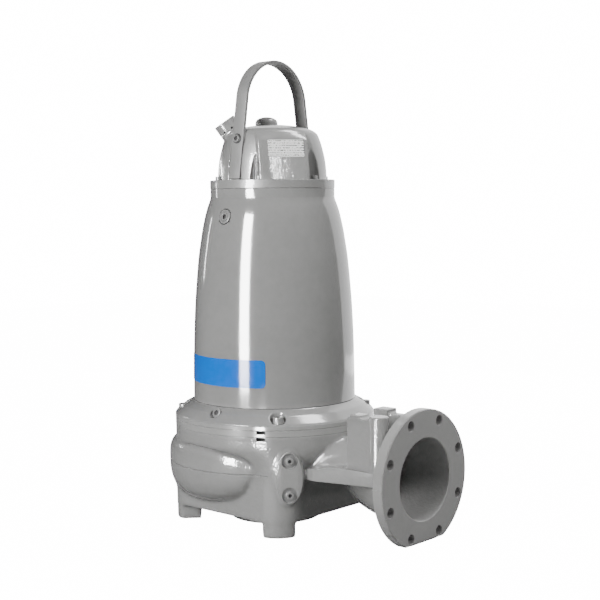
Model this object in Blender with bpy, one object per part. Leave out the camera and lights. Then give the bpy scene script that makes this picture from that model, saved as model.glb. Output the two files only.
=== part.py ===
"""Submersible sewage pump standing on its feet, built from revolved shells and one volute casting.

Metres, +Z up, the pump's axis vertical and the discharge pointing along +X. Everything is modelled
round the pump's axis, then one parent moves it so that the origin is under the middle of its box.
"""

import math

import bmesh
import bpy
from mathutils import Matrix, Vector

# Where the parts meet
GAP = 0.0003
RIM_Z = 0.037
PARTING_Z = 0.154
HOUSING_TOP_Z = 0.251
RING_TOP_Z = 0.2675
BAND_TOP_Z = 0.279
MOTOR_FOOT_Z = 0.3128
MOTOR_TOP_Z = 0.8555
COVER_FLANGE_TOP_Z = 0.878

# The box that the origin is centred under
LOW_X = -0.2884
LOW_Y = -0.2600
HIGH_Y = 0.3213

# Pump housing: round above, a rounded square below
ROUND_R = 0.2592
ROUND_FROM_Z = 0.224
SQUARE_HALF = 0.203
SQUARE_CORNER = 0.067
MORPH_END_Z = 0.130
BODY_STEPS = 104
BODY_ROWS = 15
RIM_TOP_Z = 0.057

# Volute bulge, which starts beside the oval cover and grows clockwise seen from above.
# The tables give a value for each number of degrees that it has turned from its start.
SPIRAL_START = -61.5
SPIRAL_END = 275
SPIRAL_RADII = [(0, 0.2403), (76.5, 0.2785), (118.5, 0.2876), (208.5, 0.32066), (235, 0.3296)]
SPIRAL_UPS = [(0, 0.045), (5, 0.056), (14, 0.064), (30, 0.0687)]
SPIRAL_DOWNS = [
    (0, 0.030),
    (1.5, 0.060),
    (4, 0.079),
    (8.2, 0.0842),
    (16.8, 0.0934),
    (29.3, 0.1028),
    (42, 0.1085),
    (235, 0.109),
    (275, 0.060),
]
SPIRAL_INNER_R = 0.160
SPIRAL_Z = 0.164
SPIRAL_POWER = 3.0
SPIRAL_BLEND = 0.005
LEDGE_HEIGHTS = [(0, 0.1925), (2, 0.1985), (5, 0.2036), (11, 0.2094), (20, 0.2147), (29, 0.2172)]
LEDGE_COVE_R = 0.012
LEDGE_COVE_STEPS = [1.0, 0.6, 0.3, 0.1]

# Discharge
FLANGE_X = 0.4704
FLANGE_Y = 0.0245
FLANGE_R = 0.170
FLANGE_THICK = 0.028
FLANGE_FLAT_Z = 0.001
BORE_R = 0.100
BOLT_CIRCLE_R = 0.1475
BOLT_HOLE_R = 0.0115
BOLT_HOLES = 8
BOLT_HOLE_DEEP = 0.045
PAST_FACE = 0.010

# Discharge neck: x, middle y, half width and half height of each section, from inside the body
NECK_SECTIONS = [
    (0.100, 0.110, 0.085, 0.078),
    (0.200, 0.110, 0.083, 0.081),
    (0.245, 0.080, 0.088, 0.086),
    (0.264, 0.065, 0.096, 0.092),
    (0.291, 0.050, 0.100, 0.098),
    (0.337, 0.033, 0.106, 0.104),
    (0.405, FLANGE_Y, 0.117, 0.117),
    (0.428, FLANGE_Y, 0.122, 0.122),
    (FLANGE_X - FLANGE_THICK + 0.002, FLANGE_Y, 0.132, 0.132),
]
# The neck's upper half is fuller on the side of the rib
SHOULDER_SECTIONS = [
    (0.150, 0.005, 0.110, 0.082),
    (0.245, 0.0145, 0.115, 0.086),
    (0.310, 0.020, 0.114, 0.098),
    (0.360, FLANGE_Y, 0.115, 0.109),
    (0.405, FLANGE_Y, 0.117, 0.117),
]
SHOULDER_LOW_Z = 0.150
SHOULDER_POWER = 2.6
BORE_SECTIONS = [
    (0.060, 0.095, 0.062, 0.062),
    (0.200, 0.095, 0.066, 0.064),
    (0.245, 0.078, 0.070, 0.068),
    (0.264, 0.064, 0.078, 0.074),
    (0.291, 0.046, 0.086, 0.083),
    (0.335, 0.027, 0.093, 0.090),
    (0.405, FLANGE_Y, BORE_R, BORE_R),
    (FLANGE_X + PAST_FACE, FLANGE_Y, BORE_R, BORE_R),
]
NECK_STEPS = 40
BORE_STEPS = 48

# Rib along the neck: x, outer y, lower and upper edge of each section
RIB_SECTIONS = [
    (0.190, -0.124, 0.144, 0.168),
    (0.248, -0.132, 0.144, 0.174),
    (0.320, -0.1215, 0.146, 0.185),
    (0.410, -0.108, 0.148, 0.182),
    (0.444, -0.104, 0.148, 0.181),
]
RIB_INNER_Y = 0.0

# Blocks and boss cast on top of the neck, each block as two corners
PILLAR = ((0.328, -0.101, 0.160), (0.409, -0.050, 0.306))
PILLAR_PAD = ((0.336, -0.099, 0.300), (0.368, -0.062, 0.3135))
REAR_PAD = ((0.327, 0.004, 0.240), (0.370, 0.044, 0.3150))
REAR_LEDGE = ((0.360, 0.010, 0.240), (0.444, 0.040, 0.3045))
BOSS_X = 0.412
BOSS_Y = -0.081
BOSS_R = 0.023
BOSS_LOW_Z = 0.165
BOSS_TOP_Z = 0.3145

# Feet: two at corners of the body, one in the middle of the far side
FOOT_HALF_WIDTH = 0.040
FOOT_INNER_R = 0.196
FOOT_ROUNDING = 0.005
CORNER_FEET = [225, 315]
FAR_FOOT_OUTER_Y = 0.262
FAR_FOOT_TOP_Z = 0.100

# Suction side
CHAMBER_R = 0.150
CHAMBER_LOW_Z = 0.062
SUCTION_RECESS_R = 0.1915
SUCTION_RING_R = 0.1912
SUCTION_RING_Z = 0.038
SUCTION_LOW_Z = 0.002
SUCTION_INLET_R = 0.100
SUCTION_LIP_R = 0.119

# Impeller
HUB_R = 0.045
HUB_LOW_Z = 0.112
DISC_R = 0.142
DISC_LOW_Z = 0.214
DISC_TOP_Z = 0.236
VANE_THICK = 0.014
SHAFT_R = 0.025
VANES = 2
VANE_TURN = 200
VANE_INNER_R = 0.034
VANE_OUTER_R = 0.138
VANE_STEPS = 10

# Motor housing profile, radius and height from the top down
MOTOR_PROFILE = [
    (0.1608, MOTOR_TOP_Z),
    (0.1608, 0.834),
    (0.1632, 0.8255),
    (0.1689, 0.810),
    (0.1736, 0.7945),
    (0.1774, 0.779),
    (0.1838, 0.748),
    (0.1888, 0.717),
    (0.1934, 0.686),
    (0.1968, 0.6545),
    (0.1996, 0.623),
    (0.2034, 0.576),
    (0.2061, 0.529),
    (0.2081, 0.482),
    (0.2094, 0.435),
    (0.2103, 0.372),
    (0.2109, MOTOR_FOOT_Z + GAP),
]
HOUSING_STEPS = 80

# Oil housing profile, from the top down
OIL_TOP_R = 0.2115
BAND_R = 0.2600
CONE_BREAK_R = 0.235
CONE_BREAK_Z = 0.2998
MIDDLE_RING_R = 0.2595
FLANGE_BOLT_R = 0.238
FLANGE_BOLT_ANGLES = [45, 135, 225, 315]
FLANGE_BOLT_HEAD_R = 0.0135
FLANGE_BOLT_HEAD_HIGH = 0.0175
BOLT_POCKET_R = 0.0195
POCKET_FLOOR_Z = 0.281
OIL_PLUG_R = 0.012
OIL_PLUG_ANGLES = [-86, 94]
OIL_PLUG_HIGH = 0.008
OIL_PLUG_FACE_R = 0.2315
OIL_PLUG_FACE_Z = 0.3015
OIL_PLUG_RISE = math.radians(20)
OIL_PLUG_SEAT_R = 0.016
PRY_SLOT_ANGLE = -54.6
PRY_SLOT_HALF = 0.0125
PRY_SLOT_TAPER = 0.002
PRY_SLOT_INNER_R = 0.248
PRY_SLOT_HIGH = 0.0085

# Top cover
COVER_FLANGE_R = 0.1615
COVER_PROFILE = [
    (0.030, 1.0190),
    (0.055, 1.0165),
    (0.078, 1.0125),
    (0.098, 1.0075),
    (0.110, 1.0015),
    (0.1175, 0.9945),
    (0.1220, 0.985),
    (0.1260, 0.974),
    (0.1295, 0.962),
    (0.1335, 0.946),
    (0.1368, 0.930),
    (0.1392, 0.912),
    (0.1405, 0.895),
    (0.1410, COVER_FLANGE_TOP_Z),
]
SCREW_POCKET_ANGLES = [0, 60, 120, 180, 240, 300]
SCREW_CIRCLE_R = 0.1435
SCREW_POCKET_R = 0.0245
SCREW_POCKET_TOP_Z = 0.996
SCREW_POCKET_POWER = 1.5
SCREW_HEAD_R = 0.0085
SCREW_HEAD_HIGH = 0.0095
PLUG_X = -0.019
PLUG_R = 0.029
PLUG_TOP_Z = 1.041

# Data plate, and the panel on the cover that it lies on, which fades into the cover above
PLATE_ANGLE = -32
PLATE_WIDE = 0.092
PLATE_HIGH = 0.0435
PLATE_Z = 0.9545
PLATE_LEAN = math.radians(13)
PLATE_THICK = 0.0012
PANEL_DISTANCE = 0.1335
PANEL_LEFT = -0.0700
PANEL_RIGHT = 0.0572
PANEL_INNER = 0.050
PANEL_CURVE = 8.0
PANEL_LIMIT_R = 0.160
PANEL_HEIGHTS = [(0.872, 0.0), (0.920, 0.0), (0.9835, 0.0), (0.9895, 0.003), (0.9945, 0.0075), (0.998, 0.014)]
PANEL_SCREW_ANGLES = [0, 300]
PANEL_SCREW_R = 0.0125
PANEL_SCREW_TOP_Z = 0.925
PANEL_SCREW_POWER = 6.0

# Lifting handle: a flat strap with straight legs and half an ellipse on top of them
STRAP_HALF_WIDTH = 0.01875
STRAP_THICK = 0.0085
STRAP_FOOT_Y = 0.142
STRAP_FOOT_Z = 0.8815
STRAP_BEND_FROM = math.radians(9)
STRAP_BEND_Z = 1.070
STRAP_BEND_HALF_WIDE = 0.1128
STRAP_BEND_HIGH = 0.1135
STRAP_STEPS = 14
STRAP_SLOT_HALF = 0.0215
STRAP_SLOT_OUTER_Y = 0.170
STRAP_CLEARANCE = 0.0003
HANDLE_BOLT_Z = 0.981
HANDLE_BOLT_R = 0.0095
HANDLE_BOLT_HIGH = 0.006

# Cable entry
ENTRY_ANGLE = -131
ENTRY_RISE = math.radians(55)
ENTRY_END_R = 0.1235
ENTRY_END_Z = 1.0285
ENTRY_R = 0.0290
ENTRY_LONG = 0.112
GLAND_LONG = 0.027
GLAND_MOUTH_R = 0.0165
GLAND_MOUTH_DEEP = 0.022

# Inspection plug and label on the motor housing
INSPECTION_Z = 0.786
INSPECTION_R = 0.0205
INSPECTION_LEAN = 0.24
INSPECTION_DEEP = 0.006
LABEL_LOW_Z = 0.3645
LABEL_HIGH_Z = 0.4335
LABEL_FROM = math.radians(-136)
LABEL_TO = math.radians(-53)
LABEL_THICK = 0.0006
LABEL_CORNER = 0.011

# Oval cover on the front corner
OVAL_ANGLE = -39.5
OVAL_BOSS_HALF_WIDTH = 0.0365
OVAL_BOSS_HALF_HIGH = 0.069
OVAL_BOSS_DISTANCE = 0.2605
OVAL_BOSS_ROOT = 0.225
OVAL_BOSS_DRAFT = 0.004
OVAL_BOSS_EDGE = 0.003
OVAL_Z = 0.152
OVAL_HALF_WIDTH = 0.0325
OVAL_HALF_HIGH = 0.064
OVAL_THICK = 0.008
OVAL_SCREW_OFFSET = 0.042
OVAL_SCREW_R = 0.009
OVAL_SCREW_HEAD_HIGH = 0.010
OVAL_RECESS_R = 0.0195
OVAL_RECESS_DEEP = 0.004

ENAMEL = (0.36, 0.36, 0.35, 1.0)
STEEL = (0.30, 0.30, 0.29, 1.0)
BLUE = (0.0, 0.20, 0.72, 1.0)
PLATE_GREY = (0.50, 0.50, 0.48, 1.0)
IRON = (0.16, 0.16, 0.16, 1.0)

for old in list(bpy.data.objects):
    bpy.data.objects.remove(old, do_unlink=True)


def unit(degrees):
    """The horizontal direction at this angle from +X."""
    return Vector((math.cos(math.radians(degrees)), math.sin(math.radians(degrees)), 0))


def add(name, bm, colour=ENAMEL, smooth=True):
    """A new object from this bmesh, with its own material."""
    bmesh.ops.recalc_face_normals(bm, faces=bm.faces)
    mesh = bpy.data.meshes.new(name)
    bm.to_mesh(mesh)
    bm.free()
    obj = bpy.data.objects.new(name, mesh)
    bpy.context.scene.collection.objects.link(obj)
    material = bpy.data.materials.new(name)
    material.use_nodes = True
    surface = material.node_tree.nodes["Principled BSDF"]
    surface.inputs["Base Color"].default_value = colour
    surface.inputs["Roughness"].default_value = 0.35
    mesh.materials.append(material)
    if smooth:
        mesh.shade_smooth()
        mesh.set_sharp_from_angle(angle=math.radians(35))
    return obj


def helper(name, bm):
    """A cutter or a shape to be joined, which isn't rendered."""
    obj = add(name, bm)
    obj.hide_render = True
    obj.display_type = "WIRE"
    return obj


def combine(target, other, operation):
    modifier = target.modifiers.new(other.name, "BOOLEAN")
    modifier.operation = operation
    modifier.solver = "EXACT"
    modifier.object = other


def cut(target, other):
    combine(target, other, "DIFFERENCE")


def join(target, other):
    combine(target, other, "UNION")


def loft(rings, closed=False):
    """A solid through these rings of points. It is capped at both ends, or closes on itself."""
    bm = bmesh.new()
    rows = [[bm.verts.new(point) for point in ring] for ring in rings]
    count = len(rows[0])
    pairs = list(zip(rows, rows[1:]))
    if closed:
        pairs.append((rows[-1], rows[0]))
    else:
        bm.faces.new(rows[0])
        bm.faces.new(rows[-1])
    for low, high in pairs:
        for i in range(count):
            j = (i + 1) % count
            bm.faces.new((low[i], low[j], high[j], high[i]))
    return bm


def circle(centre, radius, steps, axis=Vector((0, 0, 1))):
    """Points round a circle that faces along this axis."""
    turn = Vector((0, 0, 1)).rotation_difference(axis)
    points = []
    for i in range(steps):
        angle = 2 * math.pi * i / steps
        flat = Vector((radius * math.cos(angle), radius * math.sin(angle), 0))
        points.append(Vector(centre) + turn @ flat)
    return points


def revolve(profile, steps, closed=False):
    """A solid of revolution round Z, from (radius, height) pairs."""
    return loft([circle((0, 0, z), r, steps) for r, z in profile], closed)


def rod(start, end, radius, steps=32, end_radius=None):
    """A round bar, or a cone, between two points."""
    start, end = Vector(start), Vector(end)
    axis = (end - start).normalized()
    last = radius if end_radius is None else end_radius
    return loft([circle(start, radius, steps, axis), circle(end, last, steps, axis)])


def prism(outline, low, high):
    """A vertical prism over a plan outline of (x, y) pairs."""
    return loft([[Vector((x, y, z)) for x, y in outline] for z in (low, high)])


def block(low, high):
    """A box between two corners."""
    (x0, y0, z0), (x1, y1, z1) = low, high
    return prism([(x0, y0), (x1, y0), (x1, y1), (x0, y1)], z0, z1)


def round_edges(obj, width, segments=2, angle=40):
    """A bevel on the sharp edges, as it was cast or machined."""
    modifier = obj.modifiers.new("rounding", "BEVEL")
    modifier.width = width
    modifier.segments = segments
    modifier.limit_method = "ANGLE"
    modifier.angle_limit = math.radians(angle)


def socket_screw(name, seat, axis, head_r, head_high, colour=STEEL):
    """A cap screw's head, standing on its seat, with a hexagon socket in it."""
    seat, axis = Vector(seat), Vector(axis).normalized()
    low = seat + axis * GAP
    top = seat + axis * head_high
    rim = head_r * 0.12
    rings = [
        circle(low, head_r, 24, axis),
        circle(top - axis * rim, head_r, 24, axis),
        circle(top, head_r - rim, 24, axis),
    ]
    head = add(name, loft(rings), colour)
    socket_r = head_r * 0.52
    deep = head_high * 0.55
    hexagon = rod(top - axis * deep, top + axis * deep, socket_r, 6)
    cut(head, helper("cut_" + name, hexagon))
    return head


def rounded_square_r(angle):
    """The radius of the lower body's plan outline at this angle."""
    c, s = abs(math.cos(angle)), abs(math.sin(angle))
    c, s = max(c, s), min(c, s)
    side = SQUARE_HALF / c
    if side * s <= SQUARE_HALF - SQUARE_CORNER:
        return side
    inner = SQUARE_HALF - SQUARE_CORNER
    along = inner * (c + s)
    return along + math.sqrt(along * along - 2 * inner * inner + SQUARE_CORNER**2)


def smooth_step(t):
    t = min(1.0, max(0.0, t))
    return t * t * (3 - 2 * t)


def look_up(table, turn):
    """The table's value at this turn, straight between its entries and level past its last one."""
    for (a, low), (b, high) in zip(table, table[1:]):
        if turn <= b:
            return low + (high - low) * (turn - a) / (b - a)
    return table[-1][1]


def bulge_r(turn, z):
    """The volute bulge's radius, or nothing where it doesn't reach."""
    half = look_up(SPIRAL_UPS if z > SPIRAL_Z else SPIRAL_DOWNS, turn)
    rise = abs(z - SPIRAL_Z) / half
    if rise >= 1:
        return 0.0
    reach = (1 - rise**SPIRAL_POWER) ** (1 / SPIRAL_POWER)
    return SPIRAL_INNER_R + (look_up(SPIRAL_RADII, turn) - SPIRAL_INNER_R) * reach


def wall_r(square, z):
    """The plain wall's radius: round above, the rounded square below."""
    morph = smooth_step((ROUND_FROM_Z - z) / (ROUND_FROM_Z - MORPH_END_Z))
    return ROUND_R + (square - ROUND_R) * morph


def housing_r(angle, z):
    """The casting's outer radius. The bulge stands out under a ledge, which ends in a hollow curve."""
    square = rounded_square_r(angle)
    turn = (SPIRAL_START - math.degrees(angle)) % 360
    ledge_z = ledge_height(turn)
    if turn > SPIRAL_END or z >= ledge_z:
        return wall_r(square, z)
    bulge = bulge_r(turn, z)
    apart = square - bulge
    body = 0.5 * (square + bulge + math.sqrt(apart * apart + SPIRAL_BLEND**2))
    below = min(ledge_z - z, LEDGE_COVE_R)
    if below < LEDGE_COVE_R:
        cove = math.sqrt(LEDGE_COVE_R**2 - (LEDGE_COVE_R - below) ** 2)
        body = max(body, wall_r(square, ledge_z) - cove)
    return body


def ledge_height(turn):
    """The height of the ledge over the bulge. Past the bulge it falls back to where it starts."""
    if turn <= SPIRAL_END:
        return look_up(LEDGE_HEIGHTS, turn)
    high, low = LEDGE_HEIGHTS[-1][1], LEDGE_HEIGHTS[0][1]
    return high + (low - high) * (turn - SPIRAL_END) / (360 - SPIRAL_END)


def body_heights(turn):
    """The heights of a column of points on the casting, which follow the ledge over the bulge."""
    ledge_z = ledge_height(turn)
    low = ledge_z - LEDGE_COVE_R
    heights = [RIM_Z + (low - RIM_Z) * row / BODY_ROWS for row in range(BODY_ROWS)]
    heights += [ledge_z - LEDGE_COVE_R * share for share in LEDGE_COVE_STEPS]
    return heights + [ledge_z, (ledge_z + HOUSING_TOP_Z) / 2, HOUSING_TOP_Z]


def make_housing_body():
    columns = []
    for step in range(BODY_STEPS):
        angle = 2 * math.pi * step / BODY_STEPS
        column = []
        for z in body_heights((SPIRAL_START - math.degrees(angle)) % 360):
            r = housing_r(angle, z)
            column.append(Vector((r * math.cos(angle), r * math.sin(angle), z)))
        columns.append(column)
    return loft(list(zip(*columns)))


def oval_ring(section, steps):
    """Points round an oval that faces along X, from its x, middle y, half width and half height."""
    x, y, half_y, half_z = section
    points = []
    for i in range(steps):
        angle = 2 * math.pi * i / steps
        points.append(Vector((x, y + half_y * math.cos(angle), PARTING_Z + half_z * math.sin(angle))))
    return points


def make_neck():
    """The outlet's outside, from inside the body to the back of the flange."""
    return loft([oval_ring(section, NECK_STEPS) for section in NECK_SECTIONS])


def make_shoulder():
    """The upper half of the neck, which is fuller than a circle."""
    rings = []
    for x, y, half_y, half_z in SHOULDER_SECTIONS:
        ring = []
        for i in range(NECK_STEPS // 2 + 1):
            angle = 2 * math.pi * i / NECK_STEPS
            c, s = math.cos(angle), max(0.0, math.sin(angle))
            across = math.copysign(abs(c) ** (2 / SHOULDER_POWER), c) * half_y
            up = s ** (2 / SHOULDER_POWER) * half_z
            ring.append(Vector((x, y + across, SHOULDER_LOW_Z + up)))
        rings.append(ring)
    return loft(rings)


def make_rib():
    rings = []
    for x, y, low, high in RIB_SECTIONS:
        corners = ((RIB_INNER_Y, low), (y, low), (y, high), (RIB_INNER_Y, high))
        rings.append([Vector((x, across, z)) for across, z in corners])
    return loft(rings)


def make_bore():
    """The outlet's inside, from the chamber to past the flange's face."""
    return loft([oval_ring(section, BORE_STEPS) for section in BORE_SECTIONS])


def foot_outline(angle):
    """A foot in plan: square inside, following the body's rounded corner outside."""
    out, side = unit(angle), unit(angle + 90)
    inner = (SQUARE_HALF - SQUARE_CORNER) * math.sqrt(2)
    radius = SQUARE_CORNER - 0.001
    points = [(FOOT_INNER_R, FOOT_HALF_WIDTH), (FOOT_INNER_R, -FOOT_HALF_WIDTH)]
    for i in range(9):
        u = FOOT_HALF_WIDTH * (-1 + i / 4)
        points.append((inner + math.sqrt(radius**2 - u * u), u))
    return [tuple((out * r + side * u).xy) for r, u in points]


def make_flange():
    face = rod(
        (FLANGE_X - FLANGE_THICK, FLANGE_Y, PARTING_Z),
        (FLANGE_X, FLANGE_Y, PARTING_Z),
        FLANGE_R,
        96,
    )
    flange = helper("join_flange", face)
    below = block(
        (FLANGE_X - 0.1, FLANGE_Y - 0.2, FLANGE_FLAT_Z - 0.1),
        (FLANGE_X + 0.1, FLANGE_Y + 0.2, FLANGE_FLAT_Z),
    )
    cut(flange, helper("cut_flange_flat", below))
    return flange


def add_feet(housing):
    """Two feet under the body's corners and one on its far side, with rounded edges."""
    for angle in CORNER_FEET:
        foot = helper(f"join_foot_{angle}", prism(foot_outline(angle), 0.0, RIM_TOP_Z))
        round_edges(foot, FOOT_ROUNDING)
        join(housing, foot)
    low = (-FOOT_HALF_WIDTH, FOOT_INNER_R, 0.0)
    high = (FOOT_HALF_WIDTH, FAR_FOOT_OUTER_Y, FAR_FOOT_TOP_Z)
    far_foot = helper("join_foot_far", block(low, high))
    round_edges(far_foot, FOOT_ROUNDING)
    join(housing, far_foot)


def upright_oval(distance, half_width, half_high, steps):
    """Points round the oval cover's outline, at this distance from the axis."""
    out, side = unit(OVAL_ANGLE), unit(OVAL_ANGLE + 90)
    middle = out * distance + Vector((0, 0, OVAL_Z))
    points = []
    for i in range(steps):
        angle = 2 * math.pi * i / steps
        across = side * (half_width * math.cos(angle))
        points.append(middle + across + Vector((0, 0, half_high * math.sin(angle))))
    return points


def make_oval_boss():
    rings = []
    for distance, grow in (
        (OVAL_BOSS_ROOT, OVAL_BOSS_DRAFT),
        (OVAL_BOSS_DISTANCE - OVAL_BOSS_EDGE, 0.001),
        (OVAL_BOSS_DISTANCE, -0.001),
    ):
        rings.append(upright_oval(distance, OVAL_BOSS_HALF_WIDTH + grow, OVAL_BOSS_HALF_HIGH + grow, 40))
    return loft(rings)


def make_pump_housing():
    housing = add("pump_housing", make_housing_body())
    join(housing, helper("join_neck", make_neck()))
    join(housing, helper("join_shoulder", make_shoulder()))
    join(housing, make_flange())
    join(housing, helper("join_rib", make_rib()))
    join(housing, helper("join_pillar", block(*PILLAR)))
    join(housing, helper("join_pillar_pad", block(*PILLAR_PAD)))
    boss = rod((BOSS_X, BOSS_Y, BOSS_LOW_Z), (BOSS_X, BOSS_Y, BOSS_TOP_Z), BOSS_R, 32)
    join(housing, helper("join_boss", boss))
    join(housing, helper("join_rear_pad", block(*REAR_PAD)))
    join(housing, helper("join_rear_ledge", block(*REAR_LEDGE)))
    add_feet(housing)
    join(housing, helper("join_oval_boss", make_oval_boss()))
    cut(housing, helper("cut_bore", make_bore()))
    chamber = [(CHAMBER_R, CHAMBER_LOW_Z - 0.005), (CHAMBER_R, HOUSING_TOP_Z + 0.01)]
    cut(housing, helper("cut_chamber", revolve(chamber, 64)))
    recess = [(SUCTION_RECESS_R, RIM_Z - 0.01), (SUCTION_RECESS_R, CHAMBER_LOW_Z)]
    cut(housing, helper("cut_suction_recess", revolve(recess, 64)))
    for k in range(BOLT_HOLES):
        angle = 2 * math.pi * (k + 0.5) / BOLT_HOLES
        y = FLANGE_Y + BOLT_CIRCLE_R * math.cos(angle)
        z = PARTING_Z + BOLT_CIRCLE_R * math.sin(angle)
        hole = rod((FLANGE_X - BOLT_HOLE_DEEP, y, z), (FLANGE_X + PAST_FACE, y, z), BOLT_HOLE_R, 24)
        cut(housing, helper(f"cut_hole_{k}", hole))
    cut(housing, helper("cut_lower_slot", pry_slot(HOUSING_TOP_Z)))
    return housing


def pry_slot(top):
    """A notch in the top edge of a joint, for a lever. It is narrower at the bottom."""
    out, side = unit(PRY_SLOT_ANGLE), unit(PRY_SLOT_ANGLE + 90)
    rings = []
    for z, half in ((top - PRY_SLOT_HIGH, PRY_SLOT_HALF - PRY_SLOT_TAPER), (top + 0.01, PRY_SLOT_HALF)):
        ring = []
        for r, u in ((PRY_SLOT_INNER_R, half), (PRY_SLOT_INNER_R, -half), (0.28, -half), (0.28, half)):
            ring.append(out * r + side * u + Vector((0, 0, z)))
        rings.append(ring)
    return loft(rings)


def make_suction_side():
    top = CHAMBER_LOW_Z - GAP
    profile = [
        (SUCTION_RING_R, top),
        (SUCTION_RING_R, SUCTION_RING_Z + 0.002),
        (SUCTION_RING_R - 0.002, SUCTION_RING_Z),
        (SUCTION_LIP_R + 0.006, SUCTION_RING_Z),
        (SUCTION_LIP_R, SUCTION_RING_Z - 0.006),
        (SUCTION_LIP_R, SUCTION_LOW_Z + 0.002),
        (SUCTION_LIP_R - 0.002, SUCTION_LOW_Z),
        (SUCTION_INLET_R + 0.006, SUCTION_LOW_Z),
        (SUCTION_INLET_R, SUCTION_LOW_Z + 0.012),
        (SUCTION_INLET_R, top),
    ]
    return add("suction_cover", revolve(profile, 64, closed=True), ENAMEL)


def make_impeller():
    profile = [
        (SHAFT_R, HOUSING_TOP_Z),
        (SHAFT_R, DISC_TOP_Z),
        (DISC_R, DISC_TOP_Z - 0.003),
        (DISC_R, DISC_LOW_Z + 0.003),
        (HUB_R + 0.012, DISC_LOW_Z),
        (HUB_R, DISC_LOW_Z - 0.020),
        (HUB_R * 0.8, HUB_LOW_Z + 0.012),
        (HUB_R * 0.5, HUB_LOW_Z),
    ]
    impeller = add("impeller", revolve(profile, 48), IRON)
    half = VANE_THICK / 2
    for k in range(VANES):
        inner, outer = [], []
        for i in range(VANE_STEPS + 1):
            share = i / VANE_STEPS
            way = unit(360 * k / VANES + VANE_TURN * share)
            r = VANE_INNER_R + (VANE_OUTER_R - VANE_INNER_R) * share
            inner.append(tuple((way * (r - half)).xy))
            outer.append(tuple((way * (r + half)).xy))
        vane = prism(inner + outer[::-1], CHAMBER_LOW_Z + 0.012, DISC_LOW_Z + 0.006)
        join(impeller, helper(f"join_vane_{k}", vane))
    return impeller


def make_seal_plate():
    low, high = HOUSING_TOP_Z + GAP, RING_TOP_Z - GAP
    edge = 0.0008
    profile = [
        (MIDDLE_RING_R - edge, high),
        (MIDDLE_RING_R, high - edge),
        (MIDDLE_RING_R, low + edge),
        (MIDDLE_RING_R - edge, low),
    ]
    plate = add("seal_plate", revolve(profile, 96))
    cut(plate, helper("cut_upper_slot", pry_slot(RING_TOP_Z)))
    return plate


def make_oil_housing():
    edge = 0.0015
    profile = [
        (OIL_TOP_R, MOTOR_FOOT_Z),
        (OIL_TOP_R + 0.0015, MOTOR_FOOT_Z - 0.0016),
        (CONE_BREAK_R, CONE_BREAK_Z),
        (BAND_R - 0.002, BAND_TOP_Z + 0.0015),
        (BAND_R, BAND_TOP_Z - 0.0015),
        (BAND_R, RING_TOP_Z + edge),
        (BAND_R - edge, RING_TOP_Z),
    ]
    body = add("oil_housing", revolve(profile, 96))
    for angle in FLANGE_BOLT_ANGLES:
        spot = unit(angle) * FLANGE_BOLT_R
        floor = spot + Vector((0, 0, POCKET_FLOOR_Z))
        above = spot + Vector((0, 0, MOTOR_FOOT_Z + 0.02))
        pocket = rod(floor, above, BOLT_POCKET_R, 32)
        cut(body, helper(f"cut_pocket_{angle}", pocket))
    for angle in OIL_PLUG_ANGLES:
        seat, axis = oil_plug_seat(angle)
        spot = rod(seat, seat + axis * 0.05, OIL_PLUG_SEAT_R, 32)
        cut(body, helper(f"cut_plug_seat_{angle}", spot))
    return body


def oil_plug_seat(angle):
    """The middle and the normal of the spot face that an oil plug sits on."""
    out = unit(angle)
    axis = out * math.cos(OIL_PLUG_RISE) + Vector((0, 0, math.sin(OIL_PLUG_RISE)))
    face = out * OIL_PLUG_FACE_R + Vector((0, 0, OIL_PLUG_FACE_Z))
    return face - axis * OIL_PLUG_HIGH, axis


def make_bolts():
    for number, angle in enumerate(FLANGE_BOLT_ANGLES, 1):
        seat = unit(angle) * FLANGE_BOLT_R + Vector((0, 0, POCKET_FLOOR_Z))
        name = f"flange_bolt_{number}"
        socket_screw(name, seat, (0, 0, 1), FLANGE_BOLT_HEAD_R, FLANGE_BOLT_HEAD_HIGH)
    for number, angle in enumerate(OIL_PLUG_ANGLES, 1):
        seat, axis = oil_plug_seat(angle)
        socket_screw(f"oil_plug_{number}", seat, axis, OIL_PLUG_R, OIL_PLUG_HIGH)
    for number, angle in enumerate(SCREW_POCKET_ANGLES, 1):
        seat = unit(angle) * SCREW_CIRCLE_R + Vector((0, 0, COVER_FLANGE_TOP_Z))
        socket_screw(f"cover_screw_{number}", seat, (0, 0, 1), SCREW_HEAD_R, SCREW_HEAD_HIGH)
    for number, side in enumerate((-1, 1), 1):
        seat, axis = handle_bolt_seat(side)
        socket_screw(f"handle_bolt_{number}", seat, axis, HANDLE_BOLT_R, HANDLE_BOLT_HIGH)


def make_motor_housing():
    housing = add("motor_housing", revolve(MOTOR_PROFILE, HOUSING_STEPS))
    r = motor_r(INSPECTION_Z)
    axis = Vector((0, -1, INSPECTION_LEAN)).normalized()
    seat = Vector((0, -r, INSPECTION_Z)) - axis * INSPECTION_DEEP
    recess = rod(seat, seat + axis * 0.04, INSPECTION_R, 40)
    cut(housing, helper("cut_inspection", recess))
    plug = rod(seat + axis * GAP, seat + axis * 0.0072, INSPECTION_R - 0.0012, 40)
    cap = add("inspection_plug", plug, STEEL)
    round_edges(cap, 0.001, 2)
    hexagon = rod(seat + axis * 0.003, seat + axis * 0.02, 0.0065, 6)
    cut(cap, helper("cut_inspection_socket", hexagon))


def motor_r(z):
    """The motor housing's radius at this height."""
    for (r1, z1), (r0, z0) in zip(MOTOR_PROFILE, MOTOR_PROFILE[1:]):
        if z0 <= z <= z1:
            return r0 + (r1 - r0) * (z - z0) / (z1 - z0)
    return MOTOR_PROFILE[-1][0]


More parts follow.
